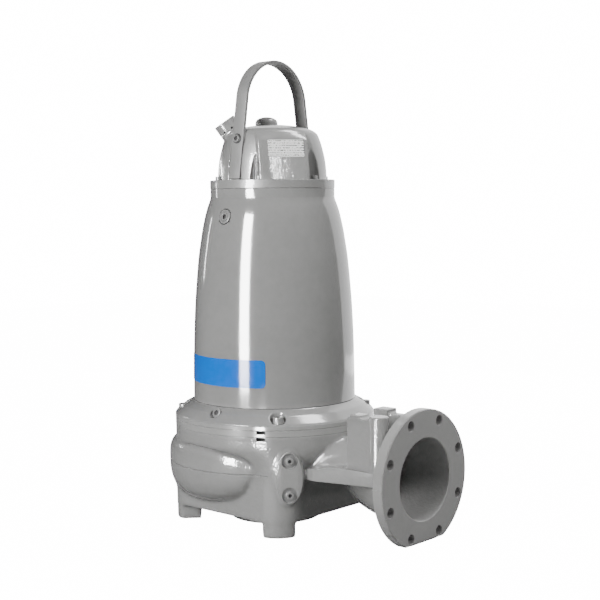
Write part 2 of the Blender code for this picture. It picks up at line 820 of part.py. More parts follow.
def make_label():
    """A thin plate wrapped on the motor housing, with rounded corners."""
    bm = bmesh.new()
    steps, rows = 30, 2
    grid = {}
    middle = (LABEL_FROM + LABEL_TO) / 2
    half_angle = (LABEL_TO - LABEL_FROM) / 2
    half_high = (LABEL_HIGH_Z - LABEL_LOW_Z) / 2
    for layer in (0, 1):
        for i in range(steps + 1):
            share = -math.cos(math.pi * i / steps)
            angle = middle + half_angle * share
            inset = label_inset(abs(share) * half_angle, half_angle)
            for j in range(rows + 1):
                rise = (half_high - inset) * (2 * j / rows - 1)
                z = (LABEL_LOW_Z + LABEL_HIGH_Z) / 2 + rise
                r = motor_r(z) + GAP + 0.0004 + layer * LABEL_THICK
                point = Vector((r * math.cos(angle), r * math.sin(angle), z))
                grid[layer, i, j] = bm.verts.new(point)
    for i in range(steps):
        for j in range(rows):
            for layer in (0, 1):
                bm.faces.new([grid[layer, a, b] for a, b in ((i, j), (i + 1, j), (i + 1, j + 1), (i, j + 1))])
        for j in (0, rows):
            bm.faces.new([grid[0, i, j], grid[0, i + 1, j], grid[1, i + 1, j], grid[1, i, j]])
    for j in range(rows):
        for i in (0, steps):
            bm.faces.new([grid[0, i, j], grid[0, i, j + 1], grid[1, i, j + 1], grid[1, i, j]])
    return add("label_plate", bm, BLUE)


def label_inset(offset, half_angle):
    """How much lower the label's edge is near its rounded corners."""
    from_end = (half_angle - offset) * MOTOR_PROFILE[-3][0]
    if from_end >= LABEL_CORNER:
        return 0.0
    return LABEL_CORNER - math.sqrt(LABEL_CORNER**2 - (LABEL_CORNER - from_end) ** 2)


def plate_frame():
    """The data plate's middle and its outward, sideways and upward directions."""
    flat = unit(PLATE_ANGLE)
    out = (flat * math.cos(PLATE_LEAN) + Vector((0, 0, math.sin(PLATE_LEAN)))).normalized()
    side = unit(PLATE_ANGLE + 90)
    up = out.cross(side) * -1
    if up.z < 0:
        up = -up
    centre = flat * PANEL_DISTANCE + Vector((0, 0, PLATE_Z))
    return centre, out, side, up


def plate_sheet(centre, out, side, up):
    """The data plate, which lies flat on the panel."""
    rings = []
    for reach in (GAP, GAP + PLATE_THICK):
        ring = []
        for a, b in ((-0.5, -0.5), (0.5, -0.5), (0.5, 0.5), (-0.5, 0.5)):
            ring.append(centre + out * reach + side * (a * PLATE_WIDE) + up * (b * PLATE_HIGH))
        rings.append(ring)
    return loft(rings)


def plate_panel():
    """The raised panel under the data plate. It runs from the cover's flange up into the dome."""
    flat, side = unit(PLATE_ANGLE), unit(PLATE_ANGLE + 90)
    steps = 12
    rings = []
    for z, fade in PANEL_HEIGHTS:
        plane = PANEL_DISTANCE + (PLATE_Z - z) * math.tan(PLATE_LEAN) - fade
        ring = []
        for i in range(steps + 1):
            u = PANEL_LEFT + (PANEL_RIGHT - PANEL_LEFT) * i / steps
            beyond = max(0.0, abs(u) - PLATE_WIDE / 2)
            distance = min(plane - PANEL_CURVE * beyond * beyond, math.sqrt(PANEL_LIMIT_R**2 - u * u))
            ring.append(flat * distance + side * u + Vector((0, 0, z)))
        for u in (PANEL_RIGHT, PANEL_LEFT):
            ring.append(flat * PANEL_INNER + side * u + Vector((0, 0, z)))
        rings.append(ring)
    return loft(rings)


def entry():
    """The middle of the cable entry's outer end, and its outward direction."""
    out = unit(ENTRY_ANGLE)
    direction = out * math.cos(ENTRY_RISE) + Vector((0, 0, math.sin(ENTRY_RISE)))
    return out * ENTRY_END_R + Vector((0, 0, ENTRY_END_Z)), direction


def make_cover():
    edge = 0.0012
    profile = list(COVER_PROFILE)
    profile += [
        (COVER_FLANGE_R - edge, COVER_FLANGE_TOP_Z),
        (COVER_FLANGE_R, COVER_FLANGE_TOP_Z - edge),
        (COVER_FLANGE_R, MOTOR_TOP_Z + GAP + edge),
        (COVER_FLANGE_R - edge, MOTOR_TOP_Z + GAP),
    ]
    cover = add("top_cover", revolve(profile, HOUSING_STEPS))
    for angle in SCREW_POCKET_ANGLES:
        pocket = pocket_shape(angle, SCREW_POCKET_R, SCREW_POCKET_TOP_Z, SCREW_POCKET_POWER)
        cut(cover, helper(f"cut_cover_pocket_{angle}", pocket))
    join(cover, helper("join_plate_panel", plate_panel()))
    end, direction = entry()
    end -= direction * (GLAND_LONG + GAP)
    join(cover, helper("join_entry", rod(end - direction * ENTRY_LONG, end, ENTRY_R, 40)))
    for angle in PANEL_SCREW_ANGLES:
        pocket = pocket_shape(angle, PANEL_SCREW_R, PANEL_SCREW_TOP_Z, PANEL_SCREW_POWER)
        cut(cover, helper(f"cut_panel_pocket_{angle}", pocket))
    for number, way in enumerate((-1, 1), 1):
        cut(cover, helper(f"cut_strap_slot_{number}", strap_slot(way)))
    add("data_plate", plate_sheet(*plate_frame()), PLATE_GREY, smooth=False)
    return cover


def pocket_shape(angle, radius, top_z, power):
    """A pocket in the cover's side over a screw, narrowing upwards to a point."""
    spot = unit(angle) * SCREW_CIRCLE_R
    rings = []
    for share in range(9):
        z = COVER_FLANGE_TOP_Z + (top_z - COVER_FLANGE_TOP_Z) * share / 8
        shrink = max(0.1, 1 - (share / 8) ** power)
        rings.append(circle(spot + Vector((0, 0, z)), radius * shrink, 24))
    return loft(rings)


def strap_outer():
    """The strap's outer face on one side, from the foot of the leg to just short of the top."""
    points = [Vector((STRAP_FOOT_Y, STRAP_FOOT_Z))]
    for i in range(STRAP_STEPS):
        turn = STRAP_BEND_FROM + (math.pi / 2 - STRAP_BEND_FROM) * i / STRAP_STEPS
        across = STRAP_BEND_HALF_WIDE * math.cos(turn)
        points.append(Vector((across, STRAP_BEND_Z + STRAP_BEND_HIGH * math.sin(turn))))
    return points


def strap_inner(outer):
    """The strap's inner face, its thickness inside the outer one."""
    inner = []
    for i, point in enumerate(outer):
        before = outer[max(0, i - 1)]
        after = outer[min(len(outer) - 1, i + 1)]
        along = (after - before).normalized()
        inner.append(point + Vector((-along.y, along.x)) * STRAP_THICK)
    return inner


def strap_slot(way):
    """The slot in the cover's side that a leg of the handle lies in, a little behind the leg."""
    low, high = [point - Vector((STRAP_CLEARANCE, 0)) for point in strap_inner(strap_outer())[:2]]
    foot = low + (low - high) * ((low.y - COVER_FLANGE_TOP_Z) / (high.y - low.y))
    section = [tuple(foot), tuple(high), (STRAP_SLOT_OUTER_Y, high.y), (STRAP_SLOT_OUTER_Y, foot.y)]
    rings = []
    for x in (-STRAP_SLOT_HALF, STRAP_SLOT_HALF):
        rings.append([Vector((x, way * y, z)) for y, z in section])
    return loft(rings)


def make_handle():
    outer = strap_outer()
    inner = strap_inner(outer)
    top = Vector((0, STRAP_BEND_Z + STRAP_BEND_HIGH))
    section = outer + [top]
    section += [Vector((-p.x, p.y)) for p in reversed(outer)]
    section += [Vector((-p.x, p.y)) for p in inner]
    section += [top - Vector((0, STRAP_THICK))]
    section += list(reversed(inner))
    rings = []
    for x in (-STRAP_HALF_WIDTH, STRAP_HALF_WIDTH):
        rings.append([Vector((x, p.x, p.y)) for p in section])
    handle = add("lifting_handle", loft(rings))
    round_edges(handle, 0.0012, 2)
    return handle


def handle_bolt_seat(side):
    """The middle and the normal of a handle bolt's seat on the strap's outer face."""
    low, high = strap_outer()[:2]
    y = low.x + (high.x - low.x) * (HANDLE_BOLT_Z - low.y) / (high.y - low.y)
    out = Vector((0, side * (high.y - low.y), low.x - high.x)).normalized()
    return Vector((0, side * y, HANDLE_BOLT_Z)) + out * 0.0006, out


def make_top_plug():
    profile = [
        (0.007, PLUG_TOP_Z),
        (0.0165, PLUG_TOP_Z - 0.0022),
        (0.0240, PLUG_TOP_Z - 0.0062),
        (0.0278, PLUG_TOP_Z - 0.0110),
        (PLUG_R, PLUG_TOP_Z - 0.0160),
        (PLUG_R, 1.0200),
        (PLUG_R - 0.002, 1.0193),
    ]
    plug = add("top_plug", revolve(profile, 40))
    plug.location = (PLUG_X, 0, 0)


def make_gland():
    end, direction = entry()
    low = end - direction * GLAND_LONG
    rings = [
        circle(low, ENTRY_R + 0.0005, 40, direction),
        circle(end - direction * 0.002, ENTRY_R + 0.0005, 40, direction),
        circle(end, ENTRY_R - 0.0015, 40, direction),
    ]
    gland = add("gland_ring", loft(rings))
    mouth = rod(end - direction * GLAND_MOUTH_DEEP, end + direction * 0.01, GLAND_MOUTH_R, 32)
    cut(gland, helper("cut_gland_mouth", mouth))


def make_oval_cover():
    seat = OVAL_BOSS_DISTANCE + GAP
    top = seat + OVAL_THICK
    rings = []
    for distance, grow in ((seat, 0.0), (top - 0.001, 0.0), (top, -0.001)):
        rings.append(upright_oval(distance, OVAL_HALF_WIDTH + grow, OVAL_HALF_HIGH + grow, 48))
    cover = add("oval_cover", loft(rings))
    out = unit(OVAL_ANGLE)
    for number, way in enumerate((1, -1), 1):
        spot = Vector((0, 0, OVAL_Z + way * OVAL_SCREW_OFFSET))
        floor = out * (top - OVAL_RECESS_DEEP) + spot
        recess = rod(floor, floor + out * 0.02, OVAL_RECESS_R, 32)
        cut(cover, helper(f"cut_oval_recess_{number}", recess))
        socket_screw(f"oval_screw_{number}", floor, out, OVAL_SCREW_R, OVAL_SCREW_HEAD_HIGH)


make_pump_housing()
make_suction_side()
make_impeller()
make_seal_plate()
make_oil_housing()
make_motor_housing()
make_label()
make_cover()
make_handle()
make_top_plug()
make_gland()
make_bolts()
make_oval_cover()

# The origin goes under the middle of the whole part's box
holder = bpy.data.objects.new("pump_axis", None)
bpy.context.scene.collection.objects.link(holder)
for made in list(bpy.context.scene.objects):
    if made is not holder:
        made.parent = holder
holder.matrix_world = Matrix.Translation((-(LOW_X + FLANGE_X) / 2, -(LOW_Y + HIGH_Y) / 2, 0))
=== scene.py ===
"""Looks of a submersible sewage pump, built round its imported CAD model.

Shapes are modelled round the pump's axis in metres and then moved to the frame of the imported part.
"""

import math

import bmesh
import bpy
from mathutils import Matrix, Quaternion, Vector


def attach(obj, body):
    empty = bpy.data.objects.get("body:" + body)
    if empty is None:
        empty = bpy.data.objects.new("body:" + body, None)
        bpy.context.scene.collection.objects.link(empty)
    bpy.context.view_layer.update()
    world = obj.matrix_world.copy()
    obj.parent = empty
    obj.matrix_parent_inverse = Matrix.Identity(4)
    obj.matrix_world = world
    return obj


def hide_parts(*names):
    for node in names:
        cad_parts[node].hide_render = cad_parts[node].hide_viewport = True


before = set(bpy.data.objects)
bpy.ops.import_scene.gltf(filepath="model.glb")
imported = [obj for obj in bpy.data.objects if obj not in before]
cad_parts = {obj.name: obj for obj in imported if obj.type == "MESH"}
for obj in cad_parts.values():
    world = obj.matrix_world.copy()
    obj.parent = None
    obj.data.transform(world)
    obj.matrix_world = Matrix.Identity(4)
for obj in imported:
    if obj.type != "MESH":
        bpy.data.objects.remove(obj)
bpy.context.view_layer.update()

AXIS = Vector((-0.0910, -0.03065, 0))
GAP = 0.0003

# Joints between the parts
RIM_Z = 0.037
PARTING_Z = 0.154
HOUSING_TOP_Z = 0.251
RING_TOP_Z = 0.2675
BAND_TOP_Z = 0.279
MOTOR_FOOT_Z = 0.3128
MOTOR_TOP_Z = 0.8555
COVER_FLANGE_TOP_Z = 0.878

# Pump housing: round at its top, a rounded square lower down
ROUND_R = 0.2592
ROUND_FROM_Z = 0.224
SQUARE_HALF = 0.203
SQUARE_CORNER = 0.067
MORPH_END_Z = 0.13
BODY_STEPS = 250
BODY_ROWS = 46
TOP_ROWS = 6
BODY_VOXEL = 0.0036

# The volute's bulge, by the degrees turned clockwise from where it starts, and the parting line
SPIRAL_START = -60.0
SPIRAL_END = 278
SPIRAL_RADII = [
    (0, 0.236), (1.5, 0.24), (3, 0.2403), (79.5, 0.278), (121.5, 0.2874), (211.5, 0.3204),
    (238, 0.3293),
]
SPIRAL_UPS = [(0, 0.02), (3, 0.042), (8, 0.055), (17, 0.064), (33, 0.0687)]
SPIRAL_DOWNS = [
    (0, 0.02), (3, 0.046), (5, 0.062), (7, 0.071), (11.2, 0.08), (19.8, 0.0888), (32.3, 0.0972),
    (45, 0.103), (63, 0.1075), (238, 0.109), (278, 0.06),
]
SPIRAL_INNER_R = 0.16
SPIRAL_Z = 0.164
SPIRAL_POWER = 3.0
SPIRAL_BLEND = 0.005
LEDGE_HEIGHTS = [
    (0, 0.18), (3, 0.1925), (5, 0.1985), (8, 0.2036), (14, 0.2094), (23, 0.2147), (32, 0.2172),
    (42, 0.217), (54, 0.214), (73, 0.211),
]
LEDGE_COVE_R = 0.012
LEDGE_COVE_STEPS = [1.0, 0.8, 0.6, 0.45, 0.3, 0.2, 0.1, 0.04]
GROOVE_FROM, GROOVE_TO = 57, 309
GROOVE_HALF = 0.0033
GROOVE_DEEP = 0.0028

# Discharge. Its sections give x, the middle's y, half the width and half the height
FLANGE_X = 0.4704
FLANGE_Y = 0.0245
FLANGE_R = 0.17
FLANGE_THICK = 0.028
FLANGE_FLAT_Z = 0.0012
FLANGE_SLANT = 0.0035
RIM_NICK_DEEP = 0.0012
RIM_NICK_HALF = 0.0028
BORE_R = 0.1
BORE_CHAMFER = 0.0018
BORE_PAINT_FROM_X = 0.14
BOLT_CIRCLE_R = 0.1475
BOLT_HOLE_R = 0.0115
HOLE_CHAMFER = 0.0015
BOLT_HOLES = 8
NECK_SECTIONS = [
    (0.1, 0.11, 0.085, 0.078), (0.2, 0.11, 0.083, 0.081), (0.245, 0.08, 0.088, 0.086),
    (0.264, 0.065, 0.096, 0.092), (0.291, 0.05, 0.1, 0.098), (0.337, 0.033, 0.106, 0.104),
    (0.405, FLANGE_Y, 0.117, 0.117), (0.428, FLANGE_Y, 0.122, 0.122), (0.4444, FLANGE_Y, 0.13, 0.13),
]
SHOULDER_SECTIONS = [
    (0.15, 0.005, 0.11, 0.082), (0.245, 0.0145, 0.115, 0.086), (0.31, 0.02, 0.114, 0.098),
    (0.36, FLANGE_Y, 0.115, 0.109), (0.405, FLANGE_Y, 0.117, 0.117),
]
SHOULDER_LOW_Z = 0.15
SHOULDER_POWER = 2.6
BORE_SECTIONS = [
    (0.06, 0.095, 0.062, 0.062), (0.2, 0.095, 0.066, 0.064), (0.245, 0.078, 0.07, 0.068),
    (0.264, 0.064, 0.078, 0.074), (0.291, 0.046, 0.086, 0.083), (0.335, 0.027, 0.093, 0.09),
    (0.405, FLANGE_Y, BORE_R, BORE_R), (0.4804, FLANGE_Y, BORE_R, BORE_R),
]
# The rib's x, y, lowest and highest z
RIB_SECTIONS = [
    (0.19, -0.124, 0.144, 0.168), (0.248, -0.132, 0.144, 0.174), (0.32, -0.1215, 0.146, 0.185),
    (0.41, -0.108, 0.148, 0.182), (0.444, -0.104, 0.148, 0.181),
]
PILLAR = ((0.328, -0.101, 0.16), (0.409, -0.05, 0.306))
PILLAR_PAD = ((0.336, -0.099, 0.3), (0.368, -0.062, 0.3135))
REAR_PAD = ((0.327, 0.004, 0.24), (0.37, 0.044, 0.315))
REAR_LEDGE = ((0.36, 0.01, 0.24), (0.444, 0.04, 0.3045))
BOSS = (0.412, -0.081)
BOSS_R = 0.023
BOSS_Z = 0.165
BOSS_HIGH = 0.1495
BOSS_EDGE = 0.0025
FOOT_HALF_WIDTH = 0.04
FOOT_INNER_R = 0.196
FOOT_TOP_Z = 0.057
FAR_FOOT_Y = 0.262
FAR_FOOT_TOP_Z = 0.1
CHAMBER_R = 0.15
CHAMBER_LOW_Z = 0.062
SUCTION_RECESS_R = 0.1915

# Motor housing and oil housing
MOTOR_PROFILE = [
    (0.1608, MOTOR_TOP_Z), (0.1608, 0.834), (0.1632, 0.8255), (0.1689, 0.81), (0.1736, 0.7945),
    (0.1774, 0.779), (0.1838, 0.748), (0.1888, 0.717), (0.1934, 0.686), (0.1968, 0.6545), (0.1996, 0.623),
    (0.2034, 0.576), (0.2061, 0.529), (0.2081, 0.482), (0.2094, 0.435), (0.2103, 0.372),
    (0.2109, MOTOR_FOOT_Z + GAP),
]
OIL_TOP_R = 0.2115
OIL_TOP_Z = MOTOR_FOOT_Z - 0.0004
OIL_INNER_R = 0.19
OIL_VOXEL = 0.0022
BAND_R = 0.2598
CONE_BREAK = (0.235, 0.2998)
MIDDLE_RING_R = 0.2595
FLANGE_BOLT_R = 0.238
FLANGE_BOLT_ANGLES = range(45, 360, 90)
BOLT_POCKET_R = 0.0195
POCKET_FLOOR_Z = 0.281
POCKET_OPEN_Z = 0.34
OIL_PLUG_ANGLES = [-86, 94]
OIL_PLUG_FACE = (0.2315, 0.3015)
OIL_PLUG_RISE = math.radians(20)
OIL_PLUG_SEAT_R = 0.016
PRY_SLOT_ANGLE = -54.6
PRY_SLOT_DEEP = 0.0085
PRY_SLOT_HALVES = (0.011, 0.0125)
PRY_SLOT_FROM, PRY_SLOT_TO = 0.236, 0.28

# The heads of the screws and plugs, by radius and height
FLANGE_BOLT_HEAD = (0.0135, 0.0175)
OIL_PLUG_HEAD = (0.012, 0.008)
COVER_SCREW_HEAD = (0.0085, 0.0095)
HANDLE_BOLT_HEAD = (0.0095, 0.006)
OVAL_SCREW_HEAD = (0.0094, 0.01)
WASHER_R = 0.013
WASHER_THICK = 0.0012

# Top cover, plug, handle and cable entry
COVER_FLANGE_R = 0.1615
COVER_TOP = [(0.006, 1.0196), (0.018, 1.0194)]
COVER_PROFILE = [
    (0.03, 1.019), (0.055, 1.0165), (0.078, 1.0125), (0.098, 1.0075), (0.11, 1.0015), (0.1175, 0.9945),
    (0.122, 0.985), (0.126, 0.974), (0.1295, 0.962), (0.1335, 0.946), (0.1368, 0.93), (0.1392, 0.912),
    (0.1405, 0.895), (0.141, COVER_FLANGE_TOP_Z - 0.006),
]
SCREW_POCKET_ANGLES = range(0, 360, 60)
SCREW_CIRCLE_R = 0.1435
# Radius, top and how bluntly it ends, for the hollow over a screw and for the bore round its head
SCREW_HOLLOW = (0.0245, 0.996, 1.5)
SCREW_BORE = (0.0125, 0.925, 6.0)
COVER_VOXEL = 0.0017
PLUG_X = -0.019
PLUG_R = 0.029
PLUG_TOP_Z = 1.041
PLUG_SEAT_Z = 1.019
PLATE_ANGLE = -32
PLATE_WIDE = 0.092
PLATE_HIGH = 0.0435
PLATE_Z = 0.9545
PLATE_THICK = 0.0012
PLATE_CORNER = 0.0022
PLATE_ROW = 0.006
PLATE_LEAN = math.radians(13)
PLATE_PAD_DISTANCE = 0.1335
PANEL_LEFT = -0.07
PANEL_RIGHT = 0.0572
PANEL_CURVE = 8.0
PANEL_LIMIT_R = 0.16
PANEL_HEIGHTS = [0.868, 0.9, 0.94, 0.968, 0.972, 0.976, 0.98, 0.984, 0.988, 0.992, 0.996, 0.999]
PANEL_FADE_FROM_Z = 0.972
PANEL_BACK = 0.05
STRAP_HALF_WIDTH = 0.01875
STRAP_THICK = 0.0085
STRAP_EDGE_R = 0.001
STRAP_STEPS = 40
STRAP_FOOT = (0.142, 0.8815)
STRAP_BEND_FROM = math.radians(9)
STRAP_BEND_Z = 1.07
STRAP_BEND_HALF_WIDE = 0.1128
STRAP_BEND_HIGH = 0.1135
STRAP_SLOT_HALF = 0.0215
HANDLE_BOLT_Z = 0.981
ENTRY_ANGLE = -131
ENTRY_RISE = math.radians(55)
ENTRY_END = (0.1235, 1.0285)
ENTRY_R = 0.029
ENTRY_LONG = 0.112
GLAND_LONG = 0.027
GLAND_MOUTH_R = 0.0165
GLAND_MOUTH_DEEP = 0.022
CLAMP_SCREW_FROM = -46.9
CLAMP_SCREW_TURNS = [(14, 0.003), (-31, 0.0024)]
CLAMP_SCREW_BACK = 0.024

# Inspection plug, label and oval cover
INSPECTION_Z = 0.786
INSPECTION_R = 0.0205
INSPECTION_DEEP = 0.006
INSPECTION_HIGH = 0.0072
INSPECTION_WAY = Vector((0, -1, 0.24))
KEY_HOLE_R = 0.0065
LABEL_LOW_Z = 0.3645
LABEL_HIGH_Z = 0.4335
LABEL_FROM = math.radians(-136)
LABEL_TO = math.radians(-53)
LABEL_CORNER = 0.011
LABEL_R = 0.2103
LABEL_THICK = 0.0006
OVAL_ANGLE = -39.5
OVAL_Z = 0.152
OVAL_BOSS_DISTANCE = 0.2605
OVAL_BOSS_FROM = 0.225
OVAL_BOSS_FLARE = 0.004
OVAL_BOSS_HALF_WIDTH = 0.0365
OVAL_BOSS_HALF_HIGH = 0.069
OVAL_HALF_WIDTH = 0.0325
OVAL_HALF_HIGH = 0.064
OVAL_THICK = 0.008
OVAL_SCREW_OFFSET = 0.042
OVAL_RECESS_R = 0.0195
OVAL_RECESS_DEEP = 0.0048


# Materials


class Shader:
    """A node material with a Principled shader, and short ways to add nodes to it."""

    def __init__(self, name):
        self.material = bpy.data.materials.new(name)
        self.material.use_nodes = True
        self.tree = self.material.node_tree
        self.place = self.node("TexCoord").outputs["Object"]

    def feed(self, node, values):
        """Links or sets the node's inputs."""
        for name, value in values.items():
            if isinstance(value, bpy.types.NodeSocket):
                self.tree.links.new(value, node.inputs[name])
            else:
                node.inputs[name].default_value = value

    def node(self, kind, values=None, **settings):
        node = self.tree.nodes.new(f"ShaderNode{kind}")
        for name, value in settings.items():
            setattr(node, name, value)
        self.feed(node, values or {})
        return node

    def noise(self, scale, detail=3.0, roughness=0.5):
        values = {"Vector": self.place, "Scale": scale, "Detail": detail, "Roughness": roughness}
        return self.node("TexNoise", values).outputs["Fac"]

    def ramp(self, value, low, high, start=0.0, end=1.0):
        """The value from start to end, where its input goes from low to high."""
        values = {"Value": value, "From Min": low, "From Max": high, "To Min": start, "To Max": end}
        return self.node("MapRange", values).outputs["Result"]

    def math(self, operation, a, b=0.0):
        return self.node("Math", {0: a, 1: b}, operation=operation).outputs[0]

    def mix(self, share, a, b):
        return self.node("Mix", {0: share, 6: a, 7: b}, data_type="RGBA").outputs[2]

    def bump(self, height, distance, normal=None):
        values = {"Height": height, "Distance": distance}
        if normal:
            values["Normal"] = normal
        return self.node("Bump", values).outputs["Normal"]

    def done(self, values):
        """The finished material, with these values on its Principled shader. Its coat follows its bumps."""
        if "Normal" in values:
            values["Coat Normal"] = values["Normal"]
        self.feed(self.tree.nodes["Principled BSDF"], values)
        return self.material


def shade(colour, factor):
    return tuple(c * factor for c in colour[:3]) + (1.0,)


GREY = (0.225, 0.225, 0.222, 1.0)


def enamel(name, tint, roughness=0.24, peel=0.00004, lumps=0.0, coat=0.5, peel_scale=240.0):
    """Glossy paint on metal: an orange-peel skin over whatever lumps the casting has."""
    grey = shade(GREY, tint)
    s = Shader(name)
    broad, spots = s.noise(4.0, 4.0, 0.6), s.noise(55.0, 3.0, 0.6)
    tone = s.math("ADD", s.math("MULTIPLY", broad, 0.7), s.math("MULTIPLY", spots, 0.3))
    colour = s.mix(s.ramp(tone, 0.35, 0.65), shade(grey, 0.94), shade(grey, 1.06))
    # Painted shade darkens corners and creases, and a painted highlight lightens sharp edges
    edges = s.ramp(s.node("NewGeometry").outputs["Pointiness"], 0.44, 0.56)
    colour = s.mix(s.ramp(edges, 0.0, 0.5, 1.0, 0.0), colour, shade(grey, 0.82))
    colour = s.mix(s.ramp(edges, 0.6, 1.0, 0.0, 0.5), colour, shade(grey, 1.25))
    normal = s.bump(s.noise(peel_scale, 1.0, 0.4), peel)
    if lumps:
        normal = s.bump(s.noise(95.0, 3.0, 0.55), lumps, normal)
    return s.done(
        {
            "Base Color": colour,
            "Roughness": s.ramp(s.noise(18.0, 4.0, 0.6), 0.3, 0.7, roughness * 0.8, roughness * 1.25),
            "Normal": normal,
            "Specular IOR Level": 0.5,
            "Coat Weight": coat,
            "Coat Roughness": 0.05,
        }
    )


def label_film():
    s = Shader("blue_film")
    colour = s.mix(s.ramp(s.noise(14.0), 0.35, 0.65), (0.0, 0.115, 0.54, 1.0), (0.0, 0.125, 0.58, 1.0))
    gloss = s.ramp(s.noise(40.0, 3.0, 0.6), 0.3, 0.7, 0.09, 0.14)
    normal = s.bump(s.noise(160.0, 2.0), 0.00001)
    return s.done({"Base Color": colour, "Roughness": gloss, "Normal": normal, "Specular IOR Level": 0.3})


def etched_plate():
    """Bare metal sheet with rows of worn, unreadable stamping."""
    s = Shader("etched_plate")
    brushed = s.noise(900.0, 2.0)
    height = s.node("SeparateXYZ", {0: s.place}).outputs["Z"]
    rows = s.math("SINE", s.math("MULTIPLY", height, 2 * math.pi / PLATE_ROW))
    printed = s.math("MULTIPLY", s.ramp(rows, 0.0, 0.25), s.ramp(s.noise(300.0, 1.0, 0.4), 0.44, 0.50))
    worn = s.math("MULTIPLY", printed, s.ramp(s.noise(60.0, 3.0, 0.6), 0.4, 0.6, 0.55, 1.0))
    metal = s.mix(s.ramp(brushed, 0.3, 0.7), (0.84, 0.84, 0.83, 1.0), (0.98, 0.98, 0.96, 1.0))
    return s.done(
        {
            "Base Color": s.mix(worn, metal, (0.025, 0.025, 0.025, 1.0)),
            "Roughness": s.ramp(brushed, 0.3, 0.7, 0.25, 0.42),
            "Metallic": s.ramp(worn, 0.0, 1.0, 0.15, 0.0),
            "Specular IOR Level": s.ramp(worn, 0.0, 1.0, 0.5, 0.05),
            "Normal": s.bump(worn, 0.0003, s.bump(brushed, 0.00003)),
        }
    )


def dark_iron():
    s = Shader("dark_iron")
    tone = s.noise(30.0, 4.0, 0.6)
    colour = s.mix(s.ramp(tone, 0.35, 0.65), (0.045, 0.045, 0.045, 1.0), (0.085, 0.083, 0.08, 1.0))
    normal = s.bump(s.noise(180.0, 3.0, 0.6), 0.00025)
    return s.done({"Base Color": colour, "Roughness": s.ramp(tone, 0.3, 0.7, 0.45, 0.65), "Normal": normal})


CAST = enamel("cast_enamel", 1.03, roughness=0.16, peel=0.00034, lumps=0.00030, coat=0.7, peel_scale=165.0)
COVER_CAST = enamel(
    "cover_enamel", 0.90, roughness=0.34, peel=0.00016, lumps=0.00008, coat=0.8, peel_scale=165.0
)
OIL_CAST = enamel("oil_housing_enamel", 1.05, roughness=0.17, peel=0.00005, lumps=0.00018)
SMOOTH = enamel("smooth_enamel", 0.98, roughness=0.10, peel=0.00002, lumps=0.00003)
STRAP = enamel("strap_enamel", 0.75, roughness=0.45, peel=0.00005, lumps=0.00010, coat=0.05)
FACE = enamel("flange_face_enamel", 1.16, roughness=0.42, peel=0.00006, lumps=0.00015, coat=0.1)
# The outlet's inside is painted much lighter than the casting: painted light for the light that reaches into
# the bore
BORE = enamel("bore_painted_light_enamel", 1.60, roughness=0.34, peel=0.00006, lumps=0.00050, coat=0.2)
SCREW = enamel("screw_enamel", 0.92, roughness=0.26, peel=0.00006)
# Darker enamel for the suction cover: painted shade for the shadow under the pump
SHADED_CAST = enamel("suction_shaded_enamel", 0.55, roughness=0.35, peel=0.00020, lumps=0.00040, coat=0.1)
# Near-black paint for the insides of sockets, holes and recesses and for the rings under the handle bolts:
# painted shade for the shade that falls there
PAINTED_SHADE = enamel("painted_shade_dark", 0.15, roughness=0.4, coat=0.0)
BLUE = label_film()
PLATE = etched_plate()
IRON = dark_iron()


# Mesh helpers


def unit(degrees):
    """The horizontal direction at this angle from +X."""
    return Vector((math.cos(math.radians(degrees)), math.sin(math.radians(degrees)), 0))


def at_z(z):
    return Vector((0, 0, z))


def slanted(degrees, rise):
    """The direction at this angle from +X that points up by this rise in radians."""
    return unit(degrees) * math.cos(rise) + at_z(math.sin(rise))


def new_object(name, bm):
    bmesh.ops.recalc_face_normals(bm, faces=bm.faces)
    mesh = bpy.data.meshes.new(name)
    bm.to_mesh(mesh)
    bm.free()
    obj = bpy.data.objects.new(name, mesh)
    bpy.context.scene.collection.objects.link(obj)
    return obj


def bake(obj):
    """Turns the object's modifiers into its mesh."""
    graph = bpy.context.evaluated_depsgraph_get()
    mesh = bpy.data.meshes.new_from_object(obj.evaluated_get(graph), depsgraph=graph)
    obj.modifiers.clear()
    obj.data = mesh


def combine(target, bm, operation):
    """Joins this shape to the target, or cuts it out of it."""
    other = new_object("helper", bm)
    modifier = target.modifiers.new("combine", "BOOLEAN")
    modifier.operation = operation
    modifier.solver = "MANIFOLD"
    modifier.object = other
    bake(target)
    bpy.data.objects.remove(other, do_unlink=True)


def cut(target, bm):
    combine(target, bm, "DIFFERENCE")


def join(target, bm):
    combine(target, bm, "UNION")


def melt(obj, voxel, rounds):
    """Remeshes the object evenly and smooths it, which rounds its edges and corners as a casting's are."""
    remesh = obj.modifiers.new("melt", "REMESH")
    remesh.mode = "VOXEL"
    remesh.voxel_size = voxel
    smooth = obj.modifiers.new("smooth", "SMOOTH")
    smooth.factor = 0.5
    smooth.iterations = rounds
    bake(obj)


def piece(obj, materials, slot, *nodes, angle=38):
    """Finishes a piece: its place, its shading, its materials and the CAD nodes that it stands for."""
    obj.data.transform(Matrix.Translation(AXIS))
    obj.data.shade_smooth()
    obj.data.set_sharp_from_angle(angle=math.radians(angle))
    obj.data.materials.clear()
    for material in materials if isinstance(materials, list) else [materials]:
        obj.data.materials.append(material)
    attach(obj, "root")
    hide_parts(*nodes)


def loft(rings, closed=False):
    """A solid through these rings of points. It is capped at both ends, or closes on itself."""
    bm = bmesh.new()
    rows = [[bm.verts.new(point) for point in ring] for ring in rings]
    count = len(rows[0])
    pairs = list(zip(rows, rows[1:]))
    if closed:
        pairs.append((rows[-1], rows[0]))
    else:
        bm.faces.new(rows[0])
        bm.faces.new(rows[-1])
    for low, high in pairs:
        for i in range(count):
            j = (i + 1) % count
            bm.faces.new((low[i], low[j], high[j], high[i]))
    return bm


